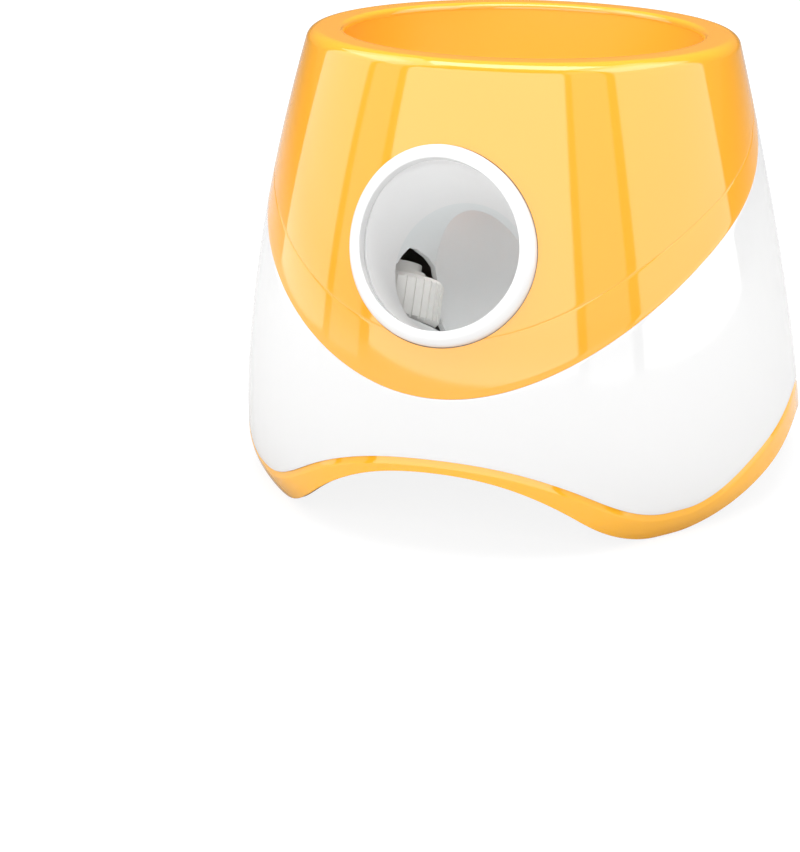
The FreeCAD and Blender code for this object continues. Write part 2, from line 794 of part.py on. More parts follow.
def make_motor_bracket(side):
    """Tilted plate on two cheeks, with tabs screwed to the base plate."""
    face = motor_face(side)
    half = bracket_half_width
    corner = face - X_AXIS * half - INWARD * half
    plate = turned_box(2 * half, 2 * half, bracket_plate, corner)
    front = face - INWARD * half
    rear = face + INWARD * half
    shapes = [plate]
    for x in (face.x - half, face.x + half - bracket_cheek):
        outline = Part.makePolygon([
            Vector(x, front.y, front.z), Vector(x, rear.y, rear.z),
            Vector(x, rear.y, plate_top), Vector(x, front.y, plate_top), Vector(x, front.y, front.z),
        ])
        shapes.append(Part.Face(outline).extrude(X_AXIS * bracket_cheek))
    for x, y in tab_places(side):
        half_tab = bracket_tab / 2.0
        shapes.append(block((x - half_tab - 1.0, y - half_tab, plate_top),
                            (x + half_tab + 1.0, y + half_tab, plate_top + bracket_tab_thickness)))
    body = fused(shapes)
    body = body.cut(cylinder(motor_boss_radius + 0.2, bracket_plate * 3.0, face - UPWARD, UPWARD))
    for place in motor_screw_places(side):
        body = body.cut(cylinder(screw_radius, bracket_plate * 3.0, place - UPWARD * (bracket_plate * 1.5),
                                 UPWARD))
    for x, y in tab_places(side):
        body = body.cut(cylinder(screw_radius, bracket_tab_thickness * 3.0, Vector(x, y, plate_top - 1.0)))
    return body


def turned_box(width, depth, height, corner):
    """Box whose edges run along X, along the barrel and across the barrel."""
    outline = Part.makePolygon([
        corner, corner + X_AXIS * width, corner + X_AXIS * width + INWARD * depth,
        corner + INWARD * depth, corner,
    ])
    return Part.Face(outline).extrude(UPWARD * height)


def tab_places(side):
    """(x, y) of the screws that hold a motor bracket to the base plate."""
    face = motor_face(side)
    out = bracket_half_width + bracket_tab / 2.0
    y = face.y + bracket_tab_shift
    return [(face.x - out, y), (face.x + out, y)]


def motor_screw_places(side):
    face = motor_face(side)
    seat = face + UPWARD * bracket_plate
    return [seat + X_AXIS * motor_screw_spacing, seat - X_AXIS * motor_screw_spacing]


def small_screw(seat, direction, length):
    """Screw whose head rests on seat and whose shank runs against direction."""
    shank = cylinder(small_shank_radius, length, seat, direction * -1)
    head = cylinder(small_head_radius, small_head_height, seat, direction)
    drive = cylinder(drive_radius, small_head_height, seat + direction * (small_head_height / 2.0), direction)
    return shank.fuse(head).removeSplitter().cut(drive)


def make_bracket_screws():
    places = tab_places(-1) + tab_places(1)
    seat = plate_top + bracket_tab_thickness
    return Part.makeCompound([small_screw(Vector(x, y, seat), Z_AXIS, bracket_tab_thickness)
                              for x, y in places])


def make_motor_screws():
    places = motor_screw_places(-1) + motor_screw_places(1)
    return Part.makeCompound([small_screw(p, UPWARD, bracket_plate) for p in places])


# ---- ball stop ----------------------------------------------------------------------------
STOP_TIP = REST.y + bore - stop_reach
PINION_Y = REST.y + bore + pinion_setback
PITCH_RADIUS = gear_module * pinion_teeth / 2.0
PINION_X = stop_width / 2.0 + PITCH_RADIUS


def stop_envelope(grow):
    """Space of the slider's square bar over its whole travel, grown all round."""
    half = stop_width / 2.0 + grow
    return block((-half, STOP_TIP - 5.0, stop_height - half),
                 (half + gear_module, STOP_TIP + stop_length + stop_travel, stop_height + half))


def make_ball_stop():
    """Square bar with a rounded nose and rack teeth on one side."""
    half = stop_width / 2.0
    root = half - gear_dedendum * gear_module
    bar = block((-half, STOP_TIP, stop_height - half), (root, STOP_TIP + stop_length, stop_height + half))
    middle = Vector((root - half) / 2.0, STOP_TIP, stop_height - half)
    nose = cylinder((root + half) / 2.0, stop_width, middle)
    circular_pitch = math.pi * gear_module
    count = int(stop_travel / circular_pitch) + 4
    teeth = []
    for i in range(count):
        centre = PINION_Y - (i - 1.5) * circular_pitch
        teeth.append(rack_tooth(centre, half, stop_height - half, stop_width))
    return fused([bar, nose] + teeth)


def rack_tooth(centre, pitch_line, bottom, height):
    """One straight-sided tooth that points along +X."""
    slope = math.tan(math.radians(20.0))
    thick = math.pi * gear_module / 2.0 - gear_backlash / 2.0
    root = pitch_line - gear_dedendum * gear_module - 0.3
    tip = pitch_line + gear_addendum * gear_module
    root_half = thick / 2.0 + slope * (pitch_line - root)
    tip_half = thick / 2.0 - slope * (tip - pitch_line)
    outline = Part.makePolygon([
        Vector(root, centre - root_half, bottom), Vector(tip, centre - tip_half, bottom),
        Vector(tip, centre + tip_half, bottom), Vector(root, centre + root_half, bottom),
        Vector(root, centre - root_half, bottom),
    ])
    return Part.Face(outline).extrude(Z_AXIS * height)


def make_stop_pinion():
    """Small gear on a shaft; a gap between teeth faces the rack's tooth at rest."""
    thick = math.pi * gear_module / 2.0 - gear_backlash / 2.0
    root = PITCH_RADIUS - gear_dedendum * gear_module
    tip = PITCH_RADIUS + gear_addendum * gear_module
    low = stop_height - stop_width / 2.0 + 1.0
    high = stop_height + stop_width / 2.0 - 1.0
    teeth = []
    for i in range(pinion_teeth):
        tooth = Part.Face(Part.makePolygon([
            Vector(root - 0.4, -thick * 0.62, low), Vector(PITCH_RADIUS, -thick * 0.5, low),
            Vector(tip, -thick * 0.24, low), Vector(tip, thick * 0.24, low),
            Vector(PITCH_RADIUS, thick * 0.5, low), Vector(root - 0.4, thick * 0.62, low),
            Vector(root - 0.4, -thick * 0.62, low),
        ])).extrude(Z_AXIS * (high - low))
        tooth.rotate(ORIGIN, Z_AXIS, 180.0 + 360.0 * i / pinion_teeth)
        tooth.translate(Vector(PINION_X, PINION_Y, 0))
        teeth.append(tooth)
    core = cylinder(root, high - low, Vector(PINION_X, PINION_Y, low))
    foot = shelf_low() - gear_shaft_bite
    shaft = cylinder(shaft_radius, high - foot, Vector(PINION_X, PINION_Y, foot))
    return fused([core, shaft] + teeth)


def shelf_low():
    """Underside of the shelf that carries the gearmotor."""
    return stop_height - stop_width / 2.0 - 2.0 * shelf_thickness


def guide_channel(grow):
    """Block of the guide's channel, from the tube's axis to the back, grown all round."""
    half = stop_width / 2.0 + guide_side + grow
    return block((-half, REST.y, shelf_low() + shelf_thickness - grow),
                 (half, STOP_TIP + stop_length, stop_height + stop_width / 2.0 + guide_roof + grow))


def make_stop_guide():
    """Channel for the slider with a shelf for the gearmotor."""
    left = -stop_width / 2.0 - guide_side
    top = shelf_low() + shelf_thickness
    shelf = block((left, PINION_Y - shelf_half_depth, shelf_low()),
                  (PINION_X + PITCH_RADIUS + 4.0, PINION_Y + shelf_half_depth, top))
    body = fused([guide_channel(0.0), shelf])
    body = body.cut(cylinder(bore + barrel_wall + seam_gap, FAR, Vector(REST.x, REST.y, 0)))
    body = body.cut(stop_envelope(stop_clearance))
    reach = PITCH_RADIUS + 2.0
    body = body.cut(block((0, PINION_Y - reach, top),
                          (FAR, PINION_Y + reach, stop_height + stop_width / 2.0)))
    hole = cylinder(shaft_radius + 4.0 * shaft_clearance, 4.0 * shelf_thickness,
                    Vector(PINION_X, PINION_Y, shelf_low() - shelf_thickness))
    return body.cut(hole)


def make_stop_gearmotor():
    """Geared motor under the shelf."""
    top = shelf_low()
    half_w = gearmotor_width / 2.0
    half_d = gearmotor_depth / 2.0
    gearbox = block((PINION_X - half_w, PINION_Y - half_d, top - gearbox_length),
                    (PINION_X + half_w, PINION_Y + half_d, top))
    can = cylinder(half_w, gearmotor_length - gearbox_length,
                   Vector(PINION_X, PINION_Y, top - gearmotor_length))
    can = can.common(block((PINION_X - half_w, PINION_Y - half_d, 0),
                           (PINION_X + half_w, PINION_Y + half_d, top)))
    depth = gear_shaft_bite + shaft_end_gap
    bored = cylinder(shaft_radius + shaft_clearance, depth, Vector(PINION_X, PINION_Y, top - depth))
    return fused([gearbox, can]).cut(bored)


# ---- sensor -------------------------------------------------------------------------------
def make_sensor(side):
    """Diode in the wall of the feed tube: a domed lens with a collar."""
    start = Vector(side * (bore + seam_gap), REST.y, sensor_height)
    lens = cylinder(sensor_radius, sensor_length, start, X_AXIS * side)
    collar = cylinder(sensor_radius + sensor_collar, sensor_collar,
                      Vector(side * (bore + barrel_wall + seam_gap), REST.y, sensor_height), X_AXIS * side)
    return lens.fuse(collar).removeSplitter()


# ---- battery ------------------------------------------------------------------------------
def cell_places():
    step = 2 * cell_radius + cell_gap
    height = plate_top + holder_wall + cell_radius + 0.1
    return [(cell_row_setback - step / 2.0, height), (cell_row_setback + step / 2.0, height)]


def make_battery_cells():
    cells = []
    for y, z in cell_places():
        body = cylinder(cell_radius, cell_length - 1.5, Vector(-cell_length / 2.0, y, z), X_AXIS)
        button = cylinder(3.0, 1.5, Vector(cell_length / 2.0 - 1.5, y, z), X_AXIS)
        cells.append(body.fuse(button).removeSplitter())
    return Part.makeCompound(cells)


def make_battery_holder():
    """Tray with a cradle for each cell."""
    step = 2 * cell_radius + cell_gap
    half_l = cell_length / 2.0 + holder_wall + 0.6
    half_d = step / 2.0 + cell_radius + holder_wall
    tray = block((-half_l, cell_row_setback - half_d, plate_top),
                 (half_l, cell_row_setback + half_d, plate_top + cell_radius + holder_wall))
    for y, z in cell_places():
        tray = tray.cut(cylinder(cell_radius + 0.1, cell_length + 0.6,
                                 Vector(-cell_length / 2.0 - 0.3, y, z), X_AXIS))
    return tray


# ---- control panel ------------------------------------------------------------------------
def button_places():
    """X of the power button and of the distance button."""
    return [-button_spacing, button_spacing]


def panel_prism(grow, y_from, y_to):
    return rounded_prism(panel_width + 2 * grow, panel_height + 2 * grow, panel_corner + grow,
                         panel_centre, y_from, y_to)


def port_prism(grow, y_from, y_to):
    """Space of the charging inlet."""
    half_w = port_width / 2.0 + grow
    half_t = port_thickness / 2.0 + grow
    z = panel_centre - port_drop
    body = block((-half_w, y_from, z - half_t), (half_w, y_to, z + half_t))
    ends = [e for e in body.Edges if abs(e.tangentAt(e.FirstParameter).y) > 0.99]
    return body.makeFillet(half_t * 0.98, ends)


def panel_ring(outer_inset, inner_inset):
    """Stretch of the body's skin around the panel."""
    return body_ring(outer_inset, inner_inset, panel_centre - panel_height, panel_centre + panel_height)


def make_control_panel():
    """Panel set in the back of the skirt, with a flange inside."""
    back = wall + seam_gap + panel_flange_wall
    near = board_setback / 2.0
    face = panel_ring(-panel_proud, back).common(panel_prism(0.0, near, FAR))
    flange = panel_ring(wall + seam_gap, back).common(panel_prism(panel_flange, near, FAR))
    shapes = [face, flange]
    front = body_loft(wall, panel_centre - panel_height, panel_centre + panel_height)
    for x, z in board_screw_places():
        post = cylinder(screw_radius + 1.2, FAR, Vector(x, board_setback + board_thickness, z), Y_AXIS)
        shapes.append(post.common(front))
    body = fused(shapes)
    for x, z in board_screw_places():
        post_low = Vector(x, board_setback + board_thickness, z)
        body = body.cut(cylinder(small_shank_radius + 0.05, panel_post_depth, post_low, Y_AXIS))
    for x in button_places():
        body = body.cut(cylinder(button_radius + 0.25, FAR, Vector(x, near, panel_centre), Y_AXIS))
    for x in light_places():
        place = Vector(x, near, panel_centre + light_rise)
        body = body.cut(cylinder(light_radius + 0.05, FAR, place, Y_AXIS))
    return body.cut(port_prism(0.3, near, FAR))


def light_places():
    return [-light_spacing, 0.0, light_spacing]


def board_screw_places():
    x = panel_width / 2.0 - 4.0
    z = panel_height / 2.0 - 4.0
    return [(sx * x, panel_centre + sz * z) for sx in (-1, 1) for sz in (-1, 1)]


def make_button(x):
    """Round cap with a flange behind the panel and a stem to its switch."""
    low = panel_centre - panel_height
    top = panel_centre + panel_height
    panel_back = wall + seam_gap + panel_flange_wall
    flange_front = panel_back + button_gap
    flange_back = flange_front + button_flange_wall

    def rod(radius, start, front_inset):
        bar = cylinder(radius, FAR, Vector(x, start, panel_centre), Y_AXIS)
        return bar.common(body_loft(front_inset, low, top))

    cap = rod(button_radius, board_setback, -button_proud).cut(body_loft(flange_back, low, top))
    flange = rod(button_radius + button_flange, board_setback, flange_front)
    flange = flange.cut(body_loft(flange_back, low, top))
    switch_top = board_setback + board_thickness + switch_height
    stem = rod(button_stem_radius, switch_top + button_travel + button_gap, flange_front)
    return fused([cap, flange, stem])


def make_status_lights():
    """Three light guides in the panel."""
    guides = []
    front = body_loft(-panel_proud - 0.3, panel_centre - panel_height, panel_centre + panel_height)
    for x in light_places():
        start = Vector(x, board_setback + board_thickness + 1.3, panel_centre + light_rise)
        guides.append(cylinder(light_radius, FAR, start, Y_AXIS).common(front))
    return Part.makeCompound(guides)


def make_control_board():
    """Circuit board with its larger chips."""
    half_w = panel_width / 2.0 - board_margin
    half_h = panel_height / 2.0 - board_margin
    y = board_setback
    board = block((-half_w, y, panel_centre - half_h), (half_w, y + board_thickness, panel_centre + half_h))
    chips = []
    for left, low, width, height, depth in (controller_chip, driver_chip, cell_connector):
        z = panel_centre + low
        chips.append(block((left, y - depth, z), (left + width, y + chip_sink, z + height)))
    body = fused([board] + chips)
    for x, z in board_screw_places():
        body = body.cut(cylinder(screw_radius - 0.2, 6.0, Vector(x, y - 2.0, z), Y_AXIS))
    for x in light_places():
        z = panel_centre + light_rise
        body = body.fuse(block((x - 1.0, y + board_thickness - 0.01, z - 0.8),
                               (x + 1.0, y + board_thickness + 1.0, z + 0.8)))
    return body.removeSplitter()


def make_board_screws():
    return Part.makeCompound([small_screw(Vector(x, board_setback, z), Y_AXIS * -1, board_screw_length)
                              for x, z in board_screw_places()])


def make_tact_switches():
    """Push switches on the board, one behind each button."""
    switches = []
    y = board_setback + board_thickness
    for x in button_places():
        base = block((x - 3.0, y, panel_centre - 3.0), (x + 3.0, y + switch_height - 0.9, panel_centre + 3.0))
        plunger = cylinder(1.7, 1.2, Vector(x, y + switch_height - 1.2, panel_centre), Y_AXIS)
        switches.append(base.fuse(plunger).removeSplitter())
    return Part.makeCompound(switches)


def make_usb_socket():
    """Metal shell of the inlet with its tongue."""
    front = body_lean(panel_centre) + body_radius(panel_centre) - 0.6
    back = board_setback + board_thickness
    shell = port_prism(0.0, back, front).cut(port_prism(-0.35, back + 1.0, FAR))
    z = panel_centre - port_drop
    tongue = block((-3.3, back + 0.5, z - 0.35), (3.3, front - 1.5, z + 0.35))
    return shell.fuse(tongue).removeSplitter()


def make_speaker():
    """Small round speaker standing on the base plate behind the battery."""
    y = cell_row_setback + 2 * cell_radius + cell_gap + holder_wall + 2.0
    centre = Vector(0, y, plate_top + speaker_radius + 1.0)
    frame = cylinder(speaker_radius, speaker_depth, centre, Y_AXIS)
    magnet = cylinder(speaker_radius * 0.55, 3.0, centre - Y_AXIS * 2.5, Y_AXIS)
    cone = Part.makeCone(speaker_radius * 0.35, speaker_radius * 0.85, speaker_depth * 0.6,
                         centre + Y_AXIS * speaker_depth * 0.45, Y_AXIS)
    half = speaker_foot_width / 2.0
    foot = block((-half, y, plate_top), (half, y + speaker_depth, plate_top + speaker_foot_height))
    foot = foot.cut(cylinder(speaker_radius - 1.0, FAR, centre - Y_AXIS, Y_AXIS))
    return fused([frame.cut(cone), magnet, foot])


# ---- build --------------------------------------------------------------------------------
SIDES = (("left", -1), ("right", 1))

save("upper_shell", make_upper_shell())
save("hopper_bowl", make_hopper_bowl())
save("body_shell", make_body_shell())
save("base_trim", make_base_trim())
save("base_plate", make_base_plate())
save("foot_pads", make_foot_pads())
save("base_screws", make_base_screws())
save("barrel_ring", make_barrel_ring())
save("launch_barrel", make_launch_barrel())
for name, side in SIDES:
    save("chamber_" + name, make_chamber_half(side))
    save("wheel_tread_" + name, make_wheel_tread(side))
    save("wheel_hub_" + name, make_wheel_hub(side))
    save("motor_shaft_" + name, make_motor_shaft(side))
    save("motor_" + name, make_motor(side))
    save("motor_bracket_" + name, make_motor_bracket(side))
save("chamber_screws", make_chamber_screws())
save("bracket_screws", make_bracket_screws())
save("motor_screws", make_motor_screws())
save("ball_stop", make_ball_stop())
save("ball_stop_guide", make_stop_guide())
save("stop_pinion", make_stop_pinion())
save("stop_gearmotor", make_stop_gearmotor())
save("sensor_emitter", make_sensor(-1))
save("sensor_receiver", make_sensor(1))
save("battery_cells", make_battery_cells())
save("battery_holder", make_battery_holder())
save("control_panel", make_control_panel())
save("power_button", make_button(button_places()[0]))
save("distance_button", make_button(button_places()[1]))
save("status_lights", make_status_lights())
save("control_board", make_control_board())
save("board_screws", make_board_screws())
save("tact_switches", make_tact_switches())
save("usb_socket", make_usb_socket())
save("speaker", make_speaker())
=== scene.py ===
"""Looks of an automatic ball launcher for a small dog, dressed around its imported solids.

Everything is in metres in the launcher's own frame: +Z up, the floor at Z = 0, the barrel points
to -Y and upwards. The glossy shells, the bowl, the bezel and the barrel are new meshes that stand
for their solids. Every other node keeps its own mesh and gets a finish.
"""

import logging
import math
from dataclasses import dataclass, field, replace
from enum import Enum
from functools import cached_property
from typing import Any, Callable, Iterable, Mapping, Sequence

import bmesh
import bpy
import numpy as np
from mathutils import Matrix, Vector


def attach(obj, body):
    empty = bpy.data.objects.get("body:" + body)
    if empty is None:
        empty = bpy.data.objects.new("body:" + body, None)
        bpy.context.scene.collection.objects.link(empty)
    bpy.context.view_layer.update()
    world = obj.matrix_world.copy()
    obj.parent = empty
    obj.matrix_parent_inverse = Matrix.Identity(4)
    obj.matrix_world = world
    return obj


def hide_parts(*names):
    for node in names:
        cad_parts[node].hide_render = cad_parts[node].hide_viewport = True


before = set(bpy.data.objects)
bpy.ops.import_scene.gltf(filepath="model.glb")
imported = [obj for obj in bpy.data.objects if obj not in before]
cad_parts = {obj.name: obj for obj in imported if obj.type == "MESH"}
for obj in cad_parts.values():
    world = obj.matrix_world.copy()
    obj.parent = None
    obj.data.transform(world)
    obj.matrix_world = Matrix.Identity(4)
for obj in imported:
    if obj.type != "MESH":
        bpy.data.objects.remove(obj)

log = logging.getLogger("launcher")

MM = 0.001
X_AXIS = Vector((1.0, 0.0, 0.0))
Z_AXIS = Vector((0.0, 0.0, 1.0))
ROW_WELD = 0.002 * MM
CUT_WELD = 0.005 * MM
SHARP_EDGE = math.radians(32.0)

Level = Callable[[Vector], float]
Section = Callable[[float], float]
Row = Callable[[float], Vector]
Colour = tuple[float, float, float]
NodeTree = bpy.types.NodeTree
Node = bpy.types.Node
Socket = bpy.types.NodeSocket


# ---- curves and meshes --------------------------------------------------------------------
@dataclass(frozen=True)
class SmoothLine:
    """Smooth line through a few points, read as a height over a distance.

    Args:
        points: (distance, height) pairs, in order.
        level_ends: True where the line runs out level at both ends.
    """

    points: tuple[tuple[float, float], ...]
    level_ends: bool = False

    RUN_SAMPLES = 40

    @cached_property
    def samples(self) -> tuple[np.ndarray, np.ndarray]:
        """Dense points along the spline.

        Returns:
            Their distances and their heights.
        """
        knots = np.array(self.points, float)
        steps = np.hypot(*np.diff(knots, axis=0).T)
        at = np.concatenate([[0.0], np.cumsum(steps)])
        slopes = self._slopes(knots, steps)
        fine = np.linspace(0.0, at[-1], self.RUN_SAMPLES * len(steps))
        piece = np.clip(np.searchsorted(at, fine, side="right") - 1, 0, len(steps) - 1)
        length = steps[piece][:, None]
        u = (fine - at[piece])[:, None] / length
        low, high = knots[piece], knots[piece + 1]
        start, end = slopes[piece] * length, slopes[piece + 1] * length
        curve = (
            (2 * u**3 - 3 * u**2 + 1) * low + (u**3 - 2 * u**2 + u) * start
            + (3 * u**2 - 2 * u**3) * high + (u**3 - u**2) * end
        )
        return curve[:, 0], curve[:, 1]

    def _slopes(self, knots: np.ndarray, steps: np.ndarray) -> np.ndarray:
        """Slopes at the points that keep the curvature continuous.

        Args:
            knots: The points.
            steps: Distances between them.

        Returns:
            One slope vector for each point.
        """
        count = len(knots)
        system = np.zeros((count, count))
        right = np.zeros((count, 2))
        for i in range(1, count - 1):
            before, after = steps[i - 1], steps[i]
            system[i, i - 1:i + 2] = (1 / before, 2 / before + 2 / after, 1 / after)
            right[i] = 3 * ((knots[i] - knots[i - 1]) / before**2 + (knots[i + 1] - knots[i]) / after**2)
        for end, inner, step in ((0, 1, steps[0]), (count - 1, count - 2, steps[-1])):
            if self.level_ends:
                system[end, end] = 1.0
                right[end] = (1.0, 0.0)
            else:
                system[end, end] = 2.0
                system[end, inner] = 1.0
                right[end] = 3 * (knots[inner] - knots[end]) / step * (1 if end == 0 else -1)
        return np.linalg.solve(system, right)

    def height(self, at: float) -> float:
        """Height of the line at a distance."""
        distances, heights = self.samples
        return float(np.interp(at, distances, heights))


def put_in_order(bm: bmesh.types.BMesh) -> None:
    """Numbers a mesh's points, edges and faces by their place, the same way in each run.

    Args:
        bm: Mesh to number.
    """
    for rank, vert in enumerate(sorted(bm.verts, key=lambda vert: tuple(vert.co))):
        vert.index = rank
    bm.verts.sort()
    for items in (bm.edges, bm.faces):
        ranked = sorted(items, key=lambda item: sorted(vert.index for vert in item.verts))
        for rank, item in enumerate(ranked):
            item.index = rank
        items.sort()


def wrapped(rows: Sequence[Row], columns: int) -> bmesh.types.BMesh:
    """Tube of quads around an axis: one ring of edges, extruded once for each further row.

    Args:
        rows: For each row, the point at an angle round the axis. The last row meets the first one.
        columns: Number of faces round the axis.

    Returns:
        The new mesh, with its faces pointing outwards.
    """
    bm = bmesh.new()
    bmesh.ops.create_circle(bm, segments=columns, radius=1.0)
    angle = bm.verts.layers.float.new("angle")
    for vert in bm.verts:
        vert[angle] = math.atan2(vert.co.y, vert.co.x)
        vert.co = rows[0](vert[angle])
    edges = list(bm.edges)
    for row in (*rows[1:], rows[0]):
        made = bmesh.ops.extrude_edge_only(bm, edges=edges)["geom"]
        ring = {item for item in made if isinstance(item, bmesh.types.BMVert)}
        edges = [item for item in made if isinstance(item, bmesh.types.BMEdge) and set(item.verts) <= ring]
        for vert in ring:
            vert.co = row(vert[angle])
    bm.verts.layers.float.remove(angle)
    bmesh.ops.remove_doubles(bm, verts=bm.verts, dist=ROW_WELD)
    put_in_order(bm)
    bmesh.ops.recalc_face_normals(bm, faces=bm.faces)
    return bm


def arc_points(centre: tuple[float, float], radius: float, start: float, end: float,
               steps: int) -> list[tuple[float, float]]:
    """Points of an arc in a profile.

    Args:
        centre: Centre of the arc.
        radius: Its radius.
        start: First angle, in degrees.
        end: Last angle, in degrees.
        steps: Number of straight runs.

    Returns:
        The points, first and last included.
    """
    turns = [math.radians(start + (end - start) * i / steps) for i in range(steps + 1)]
    return [(centre[0] + radius * math.cos(t), centre[1] + radius * math.sin(t)) for t in turns]


def spread(low: float, high: float, steps: int) -> list[float]:
    """Evenly spaced values from low to high, both included."""
    return [low + (high - low) * i / steps for i in range(steps + 1)]


def smooth_faces(bm: bmesh.types.BMesh) -> None:
    """Shades every face smooth and keeps sharp edges sharp.

    Args:
        bm: Mesh to shade.
    """
    for face in bm.faces:
        face.smooth = True
    for edge in bm.edges:
        edge.smooth = not (edge.is_manifold and edge.calc_face_angle(0.0) > SHARP_EDGE)


def linked(name: str, data: bpy.types.ID) -> bpy.types.Object:
    """Object in the scene around a mesh, lamp or camera.

    Args:
        name: Name of the object.
        data: What it holds.

    Returns:
        The object.
    """
    thing = bpy.data.objects.new(name, data)
    bpy.context.scene.collection.objects.link(thing)
    return thing


class Piece:
    """A new mesh that rides on a body and stands for one or more nodes."""

    def __init__(self, name: str, bm: bmesh.types.BMesh) -> None:
        """Makes the object out of a mesh.

        Args:
            name: Name of the piece.
            bm: Its mesh, which is used up.
        """
        smooth_faces(bm)
        mesh = bpy.data.meshes.new(name)
        bm.to_mesh(mesh)
        bm.free()
        self.thing = linked(name, mesh)

    def cut_by(self, cutter: bmesh.types.BMesh) -> None:
        """Takes a closed form out of the piece.

        Args:
            cutter: The form, which is used up.
        """
        mesh = bpy.data.meshes.new("cutter")
        bmesh.ops.recalc_face_normals(cutter, faces=cutter.faces)
        cutter.to_mesh(mesh)
        cutter.free()
        tool = linked("cutter", mesh)
        cut = self.thing.modifiers.new("cut", "BOOLEAN")
        cut.operation = "DIFFERENCE"
        cut.solver = "EXACT"
        cut.object = tool
        graph = bpy.context.evaluated_depsgraph_get()
        result = bpy.data.meshes.new_from_object(self.thing.evaluated_get(graph))
        self.thing.modifiers.clear()
        bpy.data.objects.remove(tool)
        bpy.data.meshes.remove(mesh)
        bm = bmesh.new()
        bm.from_mesh(result)
        bpy.data.meshes.remove(result)
        bmesh.ops.remove_doubles(bm, verts=bm.verts, dist=CUT_WELD)
        bmesh.ops.dissolve_degenerate(bm, edges=bm.edges, dist=CUT_WELD)
        smooth_faces(bm)
        bm.to_mesh(self.thing.data)
        bm.free()

    def dressed(self, finish: "Finish", body: str, nodes: Iterable[str]) -> None:
        """Gives the piece its finish and its place in the frame.

        Args:
            finish: Finish that it takes.
            body: Body that it rides on.
            nodes: Nodes that it stands for.
        """
        self.thing.data.materials.clear()
        self.thing.data.materials.append(finish.material())
        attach(self.thing, body)
        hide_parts(*nodes)
        log.info("piece %s: %d faces, %s", self.thing.name, len(self.thing.data.polygons), finish.name)


# ---- shared shader groups -----------------------------------------------------------------
def set_inputs(node: Node, values: Mapping[str | int, Any]) -> None:
    """Sets input sockets of a node, by name or number."""
    for socket, value in values.items():
        node.inputs[socket].default_value = value


def add_node(tree: NodeTree, kind: str, values: Mapping[str | int, Any], **settings: Any) -> Node:
    """New node in a tree.

    Args:
        tree: Tree that it goes into.
        kind: Type of the node.
        values: Values of its input sockets, by name or number.
        settings: Values of the node's own settings.

    Returns:
        The node.
    """
    node = tree.nodes.new(kind)
    for name, value in settings.items():
        setattr(node, name, value)
    set_inputs(node, values)
    return node


def join(tree: NodeTree, *pairs: tuple[Socket, Socket]) -> None:
    """Links each output in a tree to its input."""
    for output, target in pairs:
        tree.links.new(output, target)


class Effect(Enum):
    """Surface effects that several finishes share."""

    MOULD_FLOW = "mould flow"
    SATIN_GRAIN = "satin grain"
    TOOL_LINES = "tool lines"


